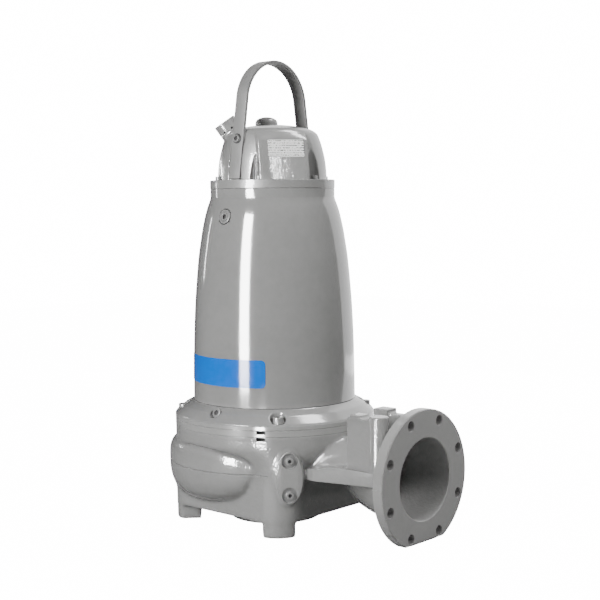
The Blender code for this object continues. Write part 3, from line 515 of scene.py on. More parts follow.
def circle(centre, radius, steps, axis=Vector((0, 0, 1))):
    turn = Vector((0, 0, 1)).rotation_difference(axis)
    points = []
    for i in range(steps):
        angle = 2 * math.pi * i / steps
        flat = Vector((radius * math.cos(angle), radius * math.sin(angle), 0))
        points.append(Vector(centre) + turn @ flat)
    return points


def revolve(profile, steps, closed=False):
    return loft([circle((0, 0, z), r, steps) for r, z in profile], closed)


def turned(base, axis, profile, steps=48):
    """A solid of revolution round any axis, from (radius, distance along it) pairs."""
    axis = Vector(axis).normalized()
    return loft([circle(Vector(base) + axis * d, r, steps, axis) for r, d in profile])


def rod(start, end, radius, steps=48):
    start, end = Vector(start), Vector(end)
    return turned(start, end - start, [(radius, 0), (radius, (end - start).length)], steps)


def prism(outline, low, high):
    return loft([[Vector((x, y, z)) for x, y in outline] for z in (low, high)])


def block(low, high):
    (x0, y0, z0), (x1, y1, z1) = low, high
    return prism([(x0, y0), (x1, y0), (x1, y1), (x0, y1)], z0, z1)


def below(z):
    """Everything under this height."""
    return block((-0.6, -0.6, -0.2), (0.6, 0.6, z))


def smooth_curve(points, steps):
    """Points on a curve through these ones, evenly many between each two."""
    curve = []
    for i in range(len(points) - 1):
        p0 = Vector(points[max(0, i - 1)])
        p1, p2 = Vector(points[i]), Vector(points[i + 1])
        p3 = Vector(points[min(len(points) - 1, i + 2)])
        for k in range(steps):
            t = k / steps
            a = 2 * p1
            b = p2 - p0
            c = 2 * p0 - 5 * p1 + 4 * p2 - p3
            d = 3 * p1 - 3 * p2 + p3 - p0
            curve.append(tuple(0.5 * (a + b * t + c * t * t + d * t * t * t)))
    curve.append(tuple(points[-1]))
    return curve


def rounded_edge(corner, before, after, radius):
    """Points round a profile's corner, from near the point before it to near the point after it."""
    corner = Vector(corner)
    a = corner + (Vector(before) - corner).normalized() * radius
    b = corner + (Vector(after) - corner).normalized() * radius
    points = []
    for i in range(5):
        t = i / 4
        points.append(tuple(a * (1 - t) ** 2 + corner * 2 * t * (1 - t) + b * t * t))
    return points


# Pump housing


def smooth_step(t):
    t = min(1.0, max(0.0, t))
    return t * t * (3 - 2 * t)


def rounded_square_r(angle):
    c, s = abs(math.cos(angle)), abs(math.sin(angle))
    c, s = max(c, s), min(c, s)
    side = SQUARE_HALF / c
    if side * s <= SQUARE_HALF - SQUARE_CORNER:
        return side
    inner = SQUARE_HALF - SQUARE_CORNER
    along = inner * (c + s)
    return along + math.sqrt(along * along - 2 * inner * inner + SQUARE_CORNER**2)


def look_up(table, turn):
    """The table's value at this turn, straight between its entries and level past its last one."""
    for (a, low), (b, high) in zip(table, table[1:]):
        if turn <= b:
            return low + (high - low) * (turn - a) / (b - a)
    return table[-1][1]


def bulge_r(turn, z):
    """The volute bulge's radius, or nothing where it doesn't reach."""
    half = look_up(SPIRAL_UPS if z > SPIRAL_Z else SPIRAL_DOWNS, turn)
    rise = abs(z - SPIRAL_Z) / half
    if rise >= 1:
        return 0.0
    reach = (1 - rise**SPIRAL_POWER) ** (1 / SPIRAL_POWER)
    return SPIRAL_INNER_R + (look_up(SPIRAL_RADII, turn) - SPIRAL_INNER_R) * reach


def wall_r(square, z):
    """The plain wall's radius: round above, the rounded square below."""
    morph = smooth_step((ROUND_FROM_Z - z) / (ROUND_FROM_Z - MORPH_END_Z))
    return ROUND_R + (square - ROUND_R) * morph


def ledge_height(turn):
    """The height of the ledge over the bulge. Past the bulge it falls back to where it starts."""
    if turn <= SPIRAL_END:
        return look_up(LEDGE_HEIGHTS, turn)
    high, low = LEDGE_HEIGHTS[-1][1], LEDGE_HEIGHTS[0][1]
    return high + (low - high) * (turn - SPIRAL_END) / (360 - SPIRAL_END)


def housing_r(angle, z):
    """The casting's outer radius. The bulge stands out under a ledge, which ends in a hollow curve."""
    square = rounded_square_r(angle)
    turn = (SPIRAL_START - math.degrees(angle)) % 360
    ledge_z = ledge_height(turn)
    if turn > SPIRAL_END or z >= ledge_z:
        return wall_r(square, z)
    bulge = bulge_r(turn, z)
    apart = square - bulge
    body = 0.5 * (square + bulge + math.sqrt(apart * apart + SPIRAL_BLEND**2))
    under = ledge_z - z
    if under < LEDGE_COVE_R:
        cove = math.sqrt(LEDGE_COVE_R**2 - (LEDGE_COVE_R - under) ** 2)
        body = max(body, wall_r(square, ledge_z) - cove)
    return body


def housing_body():
    """The casting's outside, in columns of points that follow the ledge over the bulge."""
    columns = []
    for step in range(BODY_STEPS):
        turn = 360 * step / BODY_STEPS
        angle = math.radians(SPIRAL_START - turn)
        ledge_z = ledge_height(turn)
        low = ledge_z - LEDGE_COVE_R
        heights = [RIM_Z + (low - RIM_Z) * row / BODY_ROWS for row in range(BODY_ROWS)]
        heights += [ledge_z - LEDGE_COVE_R * share for share in LEDGE_COVE_STEPS]
        heights += [ledge_z + (HOUSING_TOP_Z - ledge_z) * row / TOP_ROWS for row in range(TOP_ROWS + 1)]
        column = []
        for z in heights:
            r = housing_r(angle, z)
            column.append(Vector((r * math.cos(angle), r * math.sin(angle), z)))
        columns.append(column)
    return loft(list(zip(*columns)))


def outlet_form(sections, between, outline, middle_z):
    """A solid along X through copies of this outline, with smooth steps between its sections."""
    rings = []
    for x, y, half_y, half_z in smooth_curve(sections, between):
        rings.append([Vector((x, y + half_y * a, middle_z + half_z * b)) for a, b in outline])
    return loft(rings)


def tube(sections, steps, between):
    turns = [2 * math.pi * i / steps for i in range(steps)]
    return outlet_form(sections, between, [(math.cos(turn), math.sin(turn)) for turn in turns], PARTING_Z)


def shoulder():
    """The square-shouldered upper half of the outlet."""
    outline = []
    for i in range(33):
        c, s = math.cos(math.pi * i / 32), max(0.0, math.sin(math.pi * i / 32))
        outline.append((math.copysign(abs(c) ** (2 / SHOULDER_POWER), c), s ** (2 / SHOULDER_POWER)))
    return outlet_form(SHOULDER_SECTIONS, 4, outline, SHOULDER_LOW_Z)


def rib():
    rings = []
    for x, y, low, high in RIB_SECTIONS:
        rings.append([Vector((x, a, z)) for a, z in ((0.0, low), (y, low), (y, high), (0.0, high))])
    return loft(rings)


def foot_outline(angle):
    out, side = unit(angle), unit(angle + 90)
    inner = (SQUARE_HALF - SQUARE_CORNER) * math.sqrt(2)
    radius = SQUARE_CORNER - 0.001
    points = [(FOOT_INNER_R, FOOT_HALF_WIDTH), (FOOT_INNER_R, -FOOT_HALF_WIDTH)]
    for i in range(17):
        u = FOOT_HALF_WIDTH * (-1 + i / 8)
        points.append((inner + math.sqrt(radius**2 - u * u), u))
    return [tuple((out * r + side * u).xy) for r, u in points]


def upright_oval(half_width, half_high, rings, steps):
    """A solid through upright ovals on the front corner, from (distance from the axis, inset) pairs."""
    out, side = unit(OVAL_ANGLE), unit(OVAL_ANGLE + 90)
    loops = []
    for distance, inset in rings:
        middle = out * distance + at_z(OVAL_Z)
        loop = []
        for i in range(steps):
            angle = 2 * math.pi * i / steps
            across = side * ((half_width - inset) * math.cos(angle))
            loop.append(middle + across + at_z((half_high - inset) * math.sin(angle)))
        loops.append(loop)
    return loft(loops)


def pry_slot(top):
    out, side = unit(PRY_SLOT_ANGLE), unit(PRY_SLOT_ANGLE + 90)
    rings = []
    for z, half in zip((top - PRY_SLOT_DEEP, top + 0.01), PRY_SLOT_HALVES):
        corners = ((PRY_SLOT_FROM, half), (PRY_SLOT_FROM, -half), (PRY_SLOT_TO, -half), (PRY_SLOT_TO, half))
        rings.append([out * r + side * u + at_z(z) for r, u in corners])
    return loft(rings)


def parting_groove(body):
    """A band that cuts a line into the body at the parting plane, from the neck round to the oval boss."""
    steps = 280
    rings = []
    for step in range(steps + 1):
        out = unit(GROOVE_FROM + (GROOVE_TO - GROOVE_FROM) * step / steps)
        r = body.ray_cast(out * 0.5 + at_z(PARTING_Z), -out)[1].xy.length
        section = [(-GROOVE_DEEP, 0), (GROOVE_DEEP, -GROOVE_HALF), (GROOVE_DEEP, GROOVE_HALF)]
        rings.append([out * (r + deep) + at_z(PARTING_Z + up) for deep, up in section])
    return loft(rings)


def flange_disc():
    """The machined flange. Its front edge is chamfered, and its lower edge is cut level and then slanted."""
    back = FLANGE_X - FLANGE_THICK - 0.0004
    thick, back_edge, front_edge = FLANGE_X - back, 0.0016, 0.0022
    profile = [(FLANGE_R - back_edge, 0.0), (FLANGE_R, back_edge)]
    profile += [(FLANGE_R, thick - front_edge), (FLANGE_R - front_edge, thick)]
    disc = new_object("flange", turned((back, FLANGE_Y, PARTING_Z), (1, 0, 0), profile, 180))
    cut(disc, below(FLANGE_FLAT_Z))
    x, front, low = FLANGE_X - FLANGE_SLANT, FLANGE_X + 0.001, FLANGE_FLAT_Z - 0.01
    slant = [(x, low), (x, FLANGE_FLAT_Z), (front, FLANGE_FLAT_Z + FLANGE_SLANT + 0.001), (front, low)]
    cut(disc, loft([[Vector((x, y, z)) for x, z in slant] for y in (FLANGE_Y - 0.2, FLANGE_Y + 0.2)]))
    # The casting's parting line shows as a nick across the rim
    tip, mouth = FLANGE_Y - FLANGE_R + RIM_NICK_DEEP, FLANGE_Y - FLANGE_R - 0.002
    nick = [(tip, PARTING_Z), (mouth, PARTING_Z - RIM_NICK_HALF), (mouth, PARTING_Z + RIM_NICK_HALF)]
    cut(disc, loft([[Vector((x, y, z)) for y, z in nick] for x in (back - 0.01, FLANGE_X + 0.01)]))
    bm = bmesh.new()
    bm.from_mesh(disc.data)
    bpy.data.objects.remove(disc, do_unlink=True)
    return bm


def bolt_hole(k):
    angle = 2 * math.pi * (k + 0.5) / BOLT_HOLES
    y = FLANGE_Y + BOLT_CIRCLE_R * math.cos(angle)
    z = PARTING_Z + BOLT_CIRCLE_R * math.sin(angle)
    long, wide = 0.045, BOLT_HOLE_R + HOLE_CHAMFER
    profile = [(BOLT_HOLE_R, 0), (BOLT_HOLE_R, long - HOLE_CHAMFER), (wide, long), (wide, long + 0.01)]
    return turned((FLANGE_X - long, y, z), (1, 0, 0), profile, 40)


def top_rim():
    """The turned rim at the casting's top, which runs out into the rougher wall under it."""
    inner, low, edge = 0.16, 0.234, 0.001
    wall = [(ROUND_R - 0.004, low), (ROUND_R - 0.0004, 0.239), (ROUND_R, 0.2425)]
    wall += [(ROUND_R, HOUSING_TOP_Z - edge), (ROUND_R - edge, HOUSING_TOP_Z)]
    return revolve(wall + [(inner, HOUSING_TOP_Z), (inner, low)], 240, closed=True)


def paint_flange(body):
    """Gives the machined face its own material, and the inside of the outlet its lighter paint, a painted
    light.
    """
    centre = Vector((0, FLANGE_Y + AXIS.y, PARTING_Z))
    for polygon in body.data.polygons:
        x, y, z = polygon.center
        across = Vector((0, y, z)) - centre
        if x > FLANGE_X + AXIS.x - 0.0001:
            polygon.material_index = 1
        elif x > BORE_PAINT_FROM_X and across.length < BORE_R + 0.002 and polygon.normal.dot(across) < 0:
            polygon.material_index = 2


def make_pump_housing():
    body = new_object("pump_housing_cast", housing_body())
    boss_low, boss_high = at_z(BOSS_Z) + Vector((*BOSS, 0)), BOSS_HIGH - 0.0015
    flange_root = [(FLANGE_R - 0.004, 0), (FLANGE_R - 0.004, FLANGE_THICK - 0.004)]
    oval_boss = [(OVAL_BOSS_FROM, -OVAL_BOSS_FLARE), (OVAL_BOSS_DISTANCE + 0.0006, 0)]
    for shape in (
        tube(NECK_SECTIONS, 64, 4),
        shoulder(),
        rib(),
        block(*PILLAR),
        block(*PILLAR_PAD),
        rod(boss_low, boss_low + at_z(boss_high), BOSS_R - 0.001),
        block(*REAR_PAD),
        block(*REAR_LEDGE),
        *(prism(foot_outline(angle), 0.0, FOOT_TOP_Z) for angle in (225, 315)),
        block((-FOOT_HALF_WIDTH, FOOT_INNER_R, 0.0), (FOOT_HALF_WIDTH, FAR_FOOT_Y, FAR_FOOT_TOP_Z)),
        turned((FLANGE_X - FLANGE_THICK, FLANGE_Y, PARTING_Z), (1, 0, 0), flange_root, 96),
        upright_oval(OVAL_BOSS_HALF_WIDTH, OVAL_BOSS_HALF_HIGH, oval_boss, 48),
    ):
        join(body, shape)
    melt(body, BODY_VOXEL, 7)
    bpy.context.view_layer.update()
    # Crisper forms over the melted ones, with the rounding of their edges
    for shape, edge in (
        (rib(), 0.0022),
        (block(*PILLAR), 0.007),
        (block(*PILLAR_PAD), 0.003),
        (block(*REAR_PAD), 0.0035),
        (block(*REAR_LEDGE), 0.005),
    ):
        bmesh.ops.bevel(shape, geom=shape.edges[:], offset=edge, segments=3, profile=0.6, affect="EDGES")
        join(body, shape)
    boss = [(BOSS_R, 0), (BOSS_R, BOSS_HIGH - BOSS_EDGE), (BOSS_R - BOSS_EDGE, BOSS_HIGH)]
    join(body, turned(boss_low, (0, 0, 1), boss, 64))
    cut(body, parting_groove(body))
    join(body, flange_disc())
    join(body, top_rim())
    cut(body, pry_slot(HOUSING_TOP_Z))
    cut(body, tube(BORE_SECTIONS, 96, 5))
    wide = BORE_R + BORE_CHAMFER
    mouth = [(BORE_R, 0), (wide, BORE_CHAMFER), (wide, 0.01)]
    cut(body, turned((FLANGE_X - BORE_CHAMFER, FLANGE_Y, PARTING_Z), (1, 0, 0), mouth, 96))
    cut(body, revolve([(CHAMBER_R, CHAMBER_LOW_Z - 0.005), (CHAMBER_R, HOUSING_TOP_Z + 0.01)], 96))
    cut(body, revolve([(SUCTION_RECESS_R, RIM_Z - 0.02), (SUCTION_RECESS_R, CHAMBER_LOW_Z)], 96))
    for k in range(BOLT_HOLES):
        cut(body, bolt_hole(k))
    cut(body, below(0.0))
    piece(body, [CAST, FACE, BORE], "grey_enamel", "pump_housing", angle=32)
    paint_flange(body)


def oval_screw_seats():
    """The floors of the recesses round the oval cover's screws."""
    floor = unit(OVAL_ANGLE) * (OVAL_BOSS_DISTANCE + GAP + OVAL_THICK - OVAL_RECESS_DEEP)
    return [floor + at_z(OVAL_Z + way * OVAL_SCREW_OFFSET) for way in (1, -1)]


def make_oval_cover():
    seat = OVAL_BOSS_DISTANCE + GAP
    top = seat + OVAL_THICK
    edge = 0.0016
    rings = [(seat, 0.0), (top - edge, 0.0), (top - edge * 0.3, edge * 0.3), (top, edge)]
    cover = new_object("oval_cover_cast", upright_oval(OVAL_HALF_WIDTH, OVAL_HALF_HIGH, rings, 96))
    recess = [(OVAL_RECESS_R - 0.001, 0), (OVAL_RECESS_R, 0.001), (OVAL_RECESS_R, 0.02)]
    for floor in oval_screw_seats():
        cut(cover, turned(floor, unit(OVAL_ANGLE), recess, 64))
    piece(cover, CAST, "grey_enamel", "oval_cover", angle=30)


# Screws and plugs


def socket_screw(kind, number, seat, axis, size, socket=0.52):
    """A cap screw's head. Its hexagon socket and its roundings are shares of the head's size."""
    radius, high = size
    axis = Vector(axis).normalized()
    base = Vector(seat) + axis * GAP
    high -= GAP
    rim = radius * 0.14
    profile = [(radius - rim * 0.4, 0.0), (radius, rim * 0.4)]
    profile += rounded_edge((radius, high), (radius, 0), (0, high), rim)
    profile += [(radius * socket * 1.12, high)]
    head = new_object(f"{kind}_head_{number}", turned(base, axis, profile, 40))
    hexagon = [(radius * socket, 0.0), (radius * socket, high + GAP)]
    cut(head, turned(base + axis * high * 0.45, axis, hexagon, 6))
    bevel = [(radius * socket * 0.9, 0.0), (radius * socket * 1.15, radius * 0.16)]
    cut(head, turned(base + axis * (high - radius * 0.12), axis, bevel, 40))
    piece(head, [SCREW, PAINTED_SHADE], "screw_steel", f"{kind}_{number}", angle=30)
    # The hexagon socket's inside is painted dark: painted shade
    paint_shade_inside(head, base, axis, radius * socket * 1.05, 0.0, high * 0.9)


def paint_shade_inside(obj, base, axis, radius, low, high):
    """Gives the faces within this radius and height along the axis the piece's second material, the dark
    painted shade inside holes and sockets.
    """
    for polygon in obj.data.polygons:
        middle = polygon.center - AXIS - base
        along = middle.dot(axis)
        if (middle - axis * along).length < radius and low < along < high:
            polygon.material_index = 1


def oil_plug_seat(angle):
    """The middle and the normal of the spot face that an oil plug sits on."""
    axis = slanted(angle, OIL_PLUG_RISE)
    face = unit(angle) * OIL_PLUG_FACE[0] + at_z(OIL_PLUG_FACE[1])
    return face - axis * OIL_PLUG_HEAD[1], axis


def make_screws():
    up = at_z(1)
    for number, angle in enumerate(FLANGE_BOLT_ANGLES, 1):
        seat = unit(angle) * FLANGE_BOLT_R + at_z(POCKET_FLOOR_Z)
        socket_screw("flange_bolt", number, seat, up, FLANGE_BOLT_HEAD)
    for number, angle in enumerate(OIL_PLUG_ANGLES, 1):
        socket_screw("oil_plug", number, *oil_plug_seat(angle), OIL_PLUG_HEAD)
    for number, angle in enumerate(SCREW_POCKET_ANGLES, 1):
        seat = unit(angle) * SCREW_CIRCLE_R + at_z(COVER_FLANGE_TOP_Z)
        socket_screw("cover_screw", number, seat, up, COVER_SCREW_HEAD)
    for number, side in enumerate((-1, 1), 1):
        seat, axis = handle_bolt_seat(side)
        socket_screw("handle_bolt", number, seat, axis, HANDLE_BOLT_HEAD, socket=0.6)
        # The washer is painted near-black: painted shade for the shadow ring round the bolt head
        washer = turned(seat + axis * GAP, axis, [(WASHER_R, 0), (WASHER_R, WASHER_THICK)], 40)
        piece(new_object(f"handle_washer_{number}", washer), PAINTED_SHADE, "screw_steel", angle=30)
    for number, seat in enumerate(oval_screw_seats(), 1):
        socket_screw("oval_screw", number, seat, unit(OVAL_ANGLE), OVAL_SCREW_HEAD)


# Seal plate, oil housing, motor housing and label


def make_seal_plate():
    low, high = HOUSING_TOP_Z + GAP, RING_TOP_Z - GAP
    r, edge = MIDDLE_RING_R, 0.0009
    profile = [(r - edge, low), (r, low + edge), (r, high - edge), (r - edge, high)]
    plate = new_object("seal_plate_ring", revolve(profile, 240))
    cut(plate, pry_slot(RING_TOP_Z))
    piece(plate, OIL_CAST, "grey_enamel", "seal_plate")


def cut_bolt_pockets(body, radius):
    for angle in FLANGE_BOLT_ANGLES:
        spot = unit(angle) * FLANGE_BOLT_R
        cut(body, rod(spot + at_z(POCKET_FLOOR_Z), spot + at_z(POCKET_OPEN_Z), radius))


def make_oil_housing():
    r, top = BAND_R - 0.001, OIL_TOP_Z
    profile = [(OIL_TOP_R, top), (OIL_TOP_R + 0.0015, MOTOR_FOOT_Z - 0.0018), CONE_BREAK]
    profile += [(BAND_R - 0.0015, BAND_TOP_Z + 0.0015), (r, BAND_TOP_Z - 0.004), (r, RING_TOP_Z + 0.002)]
    profile += [(0.18, RING_TOP_Z + 0.002), (0.18, top)]
    body = new_object("oil_housing_cast", revolve(profile, 240, closed=True))
    cut_bolt_pockets(body, BOLT_POCKET_R)
    melt(body, OIL_VOXEL, 3)
    for angle in OIL_PLUG_ANGLES:
        seat, axis = oil_plug_seat(angle)
        cut(body, rod(seat, seat + axis * 0.05, OIL_PLUG_SEAT_R, 56))
    # The turned band below and the crisp lip on top
    edge, round_r = 0.0012, 0.0016
    band = [(BAND_R - edge, RING_TOP_Z), (BAND_R, RING_TOP_Z + edge), (BAND_R, BAND_TOP_Z - round_r)]
    band += [(BAND_R - round_r, BAND_TOP_Z), (0.21, BAND_TOP_Z), (0.21, RING_TOP_Z)]
    join(body, revolve(band, 240, closed=True))
    lip = [(OIL_INNER_R, top), (OIL_TOP_R, top), (OIL_TOP_R + 0.0013, top - 0.0005)]
    lip += [(OIL_TOP_R + 0.0021, top - 0.0018), (OIL_INNER_R, top - 0.0035)]
    join(body, revolve(lip, 240, closed=True))
    cut_bolt_pockets(body, BOLT_POCKET_R - 0.002)
    piece(body, OIL_CAST, "grey_enamel", "oil_housing")


def profile_r(profile, z):
    """The radius at this height on a profile that runs downwards."""
    for (r1, z1), (r0, z0) in zip(profile, profile[1:]):
        if z0 <= z <= z1:
            return r0 + (r1 - r0) * (z - z0) / (z1 - z0)
    return profile[-1][0]


def inspection_seat():
    """The floor of the inspection plug's hole, and the way that it faces."""
    axis = INSPECTION_WAY.normalized()
    skin = Vector((0, -profile_r(MOTOR_PROFILE, INSPECTION_Z), INSPECTION_Z))
    return skin - axis * INSPECTION_DEEP, axis


def make_motor_housing():
    foot_r, foot_z = MOTOR_PROFILE[-1]
    top_r, top_z = MOTOR_PROFILE[0]
    profile = [(top_r - 0.0008, top_z), (top_r, top_z - 0.0008)] + smooth_curve(MOTOR_PROFILE[1:], 4)[:-1]
    profile += [(foot_r, foot_z + 0.0012), (foot_r - 0.0012, foot_z)]
    housing = new_object("motor_housing_skin", revolve(profile, 288))
    seat, axis = inspection_seat()
    cut(housing, turned(seat, axis, [(INSPECTION_R, 0), (INSPECTION_R, 0.04)], 64))
    piece(housing, [SMOOTH, PAINTED_SHADE], "grey_enamel", "motor_housing")
    # The inspection hole's inside is painted dark: painted shade
    paint_shade_inside(housing, seat, axis, INSPECTION_R + 0.0005, -0.001, 0.0055)


def make_inspection_plug():
    seat, axis = inspection_seat()
    radius, high = INSPECTION_R - 0.0022, INSPECTION_HIGH
    rounding = rounded_edge((radius, high), (radius, 0), (0, high), 0.0014)
    plug = new_object("inspection_plug_cap", turned(seat, axis, [(radius, GAP)] + rounding, 64))
    cut(plug, turned(seat + axis * 0.003, axis, [(KEY_HOLE_R, 0), (KEY_HOLE_R, 0.02)], 6))
    ring = [(0.01, 0.0058), (0.0126, 0.0058), (0.0136, 0.009), (0.009, 0.009)]
    cut(plug, loft([circle(seat + axis * d, r, 48, axis) for r, d in ring], closed=True))
    piece(plug, [SCREW, PAINTED_SHADE], "screw_steel", "inspection_plug")
    # The key hole is painted dark: painted shade
    paint_shade_inside(plug, seat, axis, KEY_HOLE_R + 0.0001, 0.0, 0.0065)


def make_label():
    """A thin film wrapped on the motor housing, with rounded corners."""
    steps, rows = 96, 8
    half_angle = (LABEL_TO - LABEL_FROM) / 2
    half_high = (LABEL_HIGH_Z - LABEL_LOW_Z) / 2
    rings = []
    for i in range(steps + 1):
        share = -math.cos(math.pi * i / steps)
        angle = (LABEL_FROM + LABEL_TO) / 2 + half_angle * share
        short = max(0.0, LABEL_CORNER - (1 - abs(share)) * half_angle * LABEL_R)
        reach = half_high - LABEL_CORNER + math.sqrt(LABEL_CORNER**2 - short * short)
        ring = []
        # Up the outer face and down the inner one
        for way, thick in ((1, LABEL_THICK), (-1, 0.0)):
            for j in range(rows + 1):
                z = (LABEL_LOW_Z + LABEL_HIGH_Z) / 2 + way * reach * (2 * j / rows - 1)
                r = profile_r(MOTOR_PROFILE, z) + GAP + thick
                ring.append((r * math.cos(angle), r * math.sin(angle), z))
        rings.append(ring)
    piece(new_object("label_film", loft(rings)), BLUE, "label_blue", "label_plate")


# Cover, data plate, top plug, handle and gland


def plate_frame():
    """The middle of the data plate's back, and the ways out of it, along it and up it."""
    out = slanted(PLATE_ANGLE, PLATE_LEAN).normalized()
    side = unit(PLATE_ANGLE + 90)
    return unit(PLATE_ANGLE) * PLATE_PAD_DISTANCE + at_z(PLATE_Z), out, side, out.cross(side)


def make_data_plate():
    """A thin sheet on the cover's panel, with cut corners."""
    centre, out, side, up = plate_frame()
    wide, high = PLATE_WIDE / 2, PLATE_HIGH / 2
    rings = []
    for reach in (GAP, GAP + PLATE_THICK):
        ring = []
        for a, b in ((-1, -1), (1, -1), (1, 1), (-1, 1)):
            ends = ((a * wide, b * (high - PLATE_CORNER)), (a * (wide - PLATE_CORNER), b * high))
            for u, v in ends if a * b > 0 else reversed(ends):
                ring.append(centre + out * reach + side * u + up * v)
        rings.append(ring)
    piece(new_object("data_plate_sheet", loft(rings)), PLATE, "plate_steel", "data_plate")


def pocket_shape(angle, radius, top_z, power):
    """A hollow over a cover screw, which narrows upwards."""
    spot = unit(angle) * SCREW_CIRCLE_R
    rings = []
    for share in range(21):
        z = COVER_FLANGE_TOP_Z - 0.02 + (top_z - COVER_FLANGE_TOP_Z + 0.02) * share / 20
        rise = max(0.0, (z - COVER_FLANGE_TOP_Z) / (top_z - COVER_FLANGE_TOP_Z))
        rings.append(circle(spot + at_z(z), radius * max(0.04, 1 - rise**power), 40))
    return loft(rings)


def plate_panel():
    """The raised panel under the data plate. It runs down to the cover's flange and fades into the dome."""
    flat, side = unit(PLATE_ANGLE), unit(PLATE_ANGLE + 90)
    rings = []
    for z in PANEL_HEIGHTS:
        plane = PLATE_PAD_DISTANCE + (PLATE_Z - z) * math.tan(PLATE_LEAN)
        fade = smooth_step((z - PANEL_FADE_FROM_Z) / (PANEL_HEIGHTS[-1] - PANEL_FADE_FROM_Z))
        ring = []
        for i in range(33):
            u = PANEL_LEFT + (PANEL_RIGHT - PANEL_LEFT) * i / 32
            beyond = max(0.0, abs(u) - PLATE_WIDE / 2)
            distance = min(plane - PANEL_CURVE * beyond * beyond, math.sqrt(PANEL_LIMIT_R**2 - u * u))
            if fade:
                dome = math.sqrt(profile_r(COVER_PROFILE, z) ** 2 - u * u)
                distance += (dome - 0.0006 - distance) * fade
            ring.append(flat * distance + side * u + at_z(z))
        for u in (PANEL_RIGHT, PANEL_LEFT):
            ring.append(flat * PANEL_BACK + side * u + at_z(z))
        rings.append(ring)
    return loft(rings)


def entry():
    """The middle of the cable entry's outer end, and the way that it points."""
    return unit(ENTRY_ANGLE) * ENTRY_END[0] + at_z(ENTRY_END[1]), slanted(ENTRY_ANGLE, ENTRY_RISE)


def strap_outer():
    points = [Vector(STRAP_FOOT)]
    for i in range(STRAP_STEPS):
        turn = STRAP_BEND_FROM + (math.pi / 2 - STRAP_BEND_FROM) * i / STRAP_STEPS
        across = STRAP_BEND_HALF_WIDE * math.cos(turn)
        points.append(Vector((across, STRAP_BEND_Z + STRAP_BEND_HIGH * math.sin(turn))))
    return points


def strap_inner(outer):
    inner = []
    for i, point in enumerate(outer):
        before, after = outer[max(0, i - 1)], outer[min(len(outer) - 1, i + 1)]
        along = (after - before).normalized()
        inner.append(point + Vector((-along.y, along.x)) * STRAP_THICK)
    return inner


def strap_slot(way):
    low, high = [point - Vector((GAP, 0)) for point in strap_inner(strap_outer())[:2]]
    foot = low + (low - high) * ((low.y - COVER_FLANGE_TOP_Z + 0.02) / (high.y - low.y))
    section = [tuple(foot), tuple(high), (0.17, high.y), (0.17, foot.y)]
    rings = []
    for x in (-STRAP_SLOT_HALF, STRAP_SLOT_HALF):
        rings.append([Vector((x, way * y, z)) for y, z in section])
    return loft(rings)


def make_cover():
    cover = new_object("top_cover_cast", revolve(COVER_TOP + smooth_curve(COVER_PROFILE, 3), 200))
    for angle in SCREW_POCKET_ANGLES:
        cut(cover, pocket_shape(angle, *SCREW_HOLLOW))
    join(cover, plate_panel())
    end, direction = entry()
    end -= direction * (GLAND_LONG + GAP)
    join(cover, rod(end - direction * ENTRY_LONG, end, ENTRY_R, 64))
    for angle in SCREW_POCKET_ANGLES:
        cut(cover, pocket_shape(angle, *SCREW_BORE))
    for way in (-1, 1):
        cut(cover, strap_slot(way))
    melt(cover, COVER_VOXEL, 3)
    r, z0, z1, edge = COVER_FLANGE_R, MOTOR_TOP_Z + GAP, COVER_FLANGE_TOP_Z, 0.0014
    flange = [(r - edge, z0), (r, z0 + edge)] + rounded_edge((r, z1), (r, z0), (0, z1), edge)
    join(cover, revolve(flange, 240))
    piece(cover, COVER_CAST, "grey_enamel", "top_cover")


def make_top_plug():
    profile = [(0.007, PLUG_TOP_Z), (0.0165, PLUG_TOP_Z - 0.0022), (0.0240, PLUG_TOP_Z - 0.0062)]
    profile += [(0.0278, PLUG_TOP_Z - 0.0110), (PLUG_R, PLUG_TOP_Z - 0.0160), (PLUG_R, PLUG_SEAT_Z + 0.001)]
    curve = [(0.002, PLUG_TOP_Z)] + smooth_curve(profile, 5) + [(PLUG_R - 0.002, PLUG_SEAT_Z)]
    plug = new_object("top_plug_cap", revolve(curve, 72))
    plug.data.transform(Matrix.Translation((PLUG_X, 0, 0)))
    piece(plug, CAST, "grey_enamel", "top_plug")


def make_handle():
    outer = strap_outer()
    inner = strap_inner(outer)
    top = Vector((0, STRAP_BEND_Z + STRAP_BEND_HIGH))
    line = [(p, q) for p, q in zip(outer, inner)] + [(top, top - Vector((0, STRAP_THICK)))]
    line += [(Vector((-p.x, p.y)), Vector((-q.x, q.y))) for p, q in reversed(list(zip(outer, inner)))]
    # A rounded rectangle swept along the strap
    round_r, half = STRAP_EDGE_R, STRAP_HALF_WIDTH
    x, low, high = half - round_r, round_r, STRAP_THICK - round_r
    section = []
    for start, (cx, depth) in enumerate(((x, low), (x, high), (-x, high), (-x, low))):
        for k in range(4):
            a = math.radians(90 * start - 90 + 30 * k)
            section.append((cx + round_r * math.cos(a), depth + round_r * math.sin(a)))
    rings = []
    for p, q in line:
        inward = (q - p).normalized()
        rings.append([Vector((x, p.x + inward.x * d, p.y + inward.y * d)) for x, d in section])
    piece(new_object("lifting_strap", loft(rings)), STRAP, "grey_enamel", "lifting_handle")


def handle_bolt_seat(side):
    low, high = strap_outer()[:2]
    y = low.x + (high.x - low.x) * (HANDLE_BOLT_Z - low.y) / (high.y - low.y)
    out = Vector((0, side * (high.y - low.y), low.x - high.x)).normalized()
    return Vector((0, side * y, HANDLE_BOLT_Z)) + out * 0.0006, out


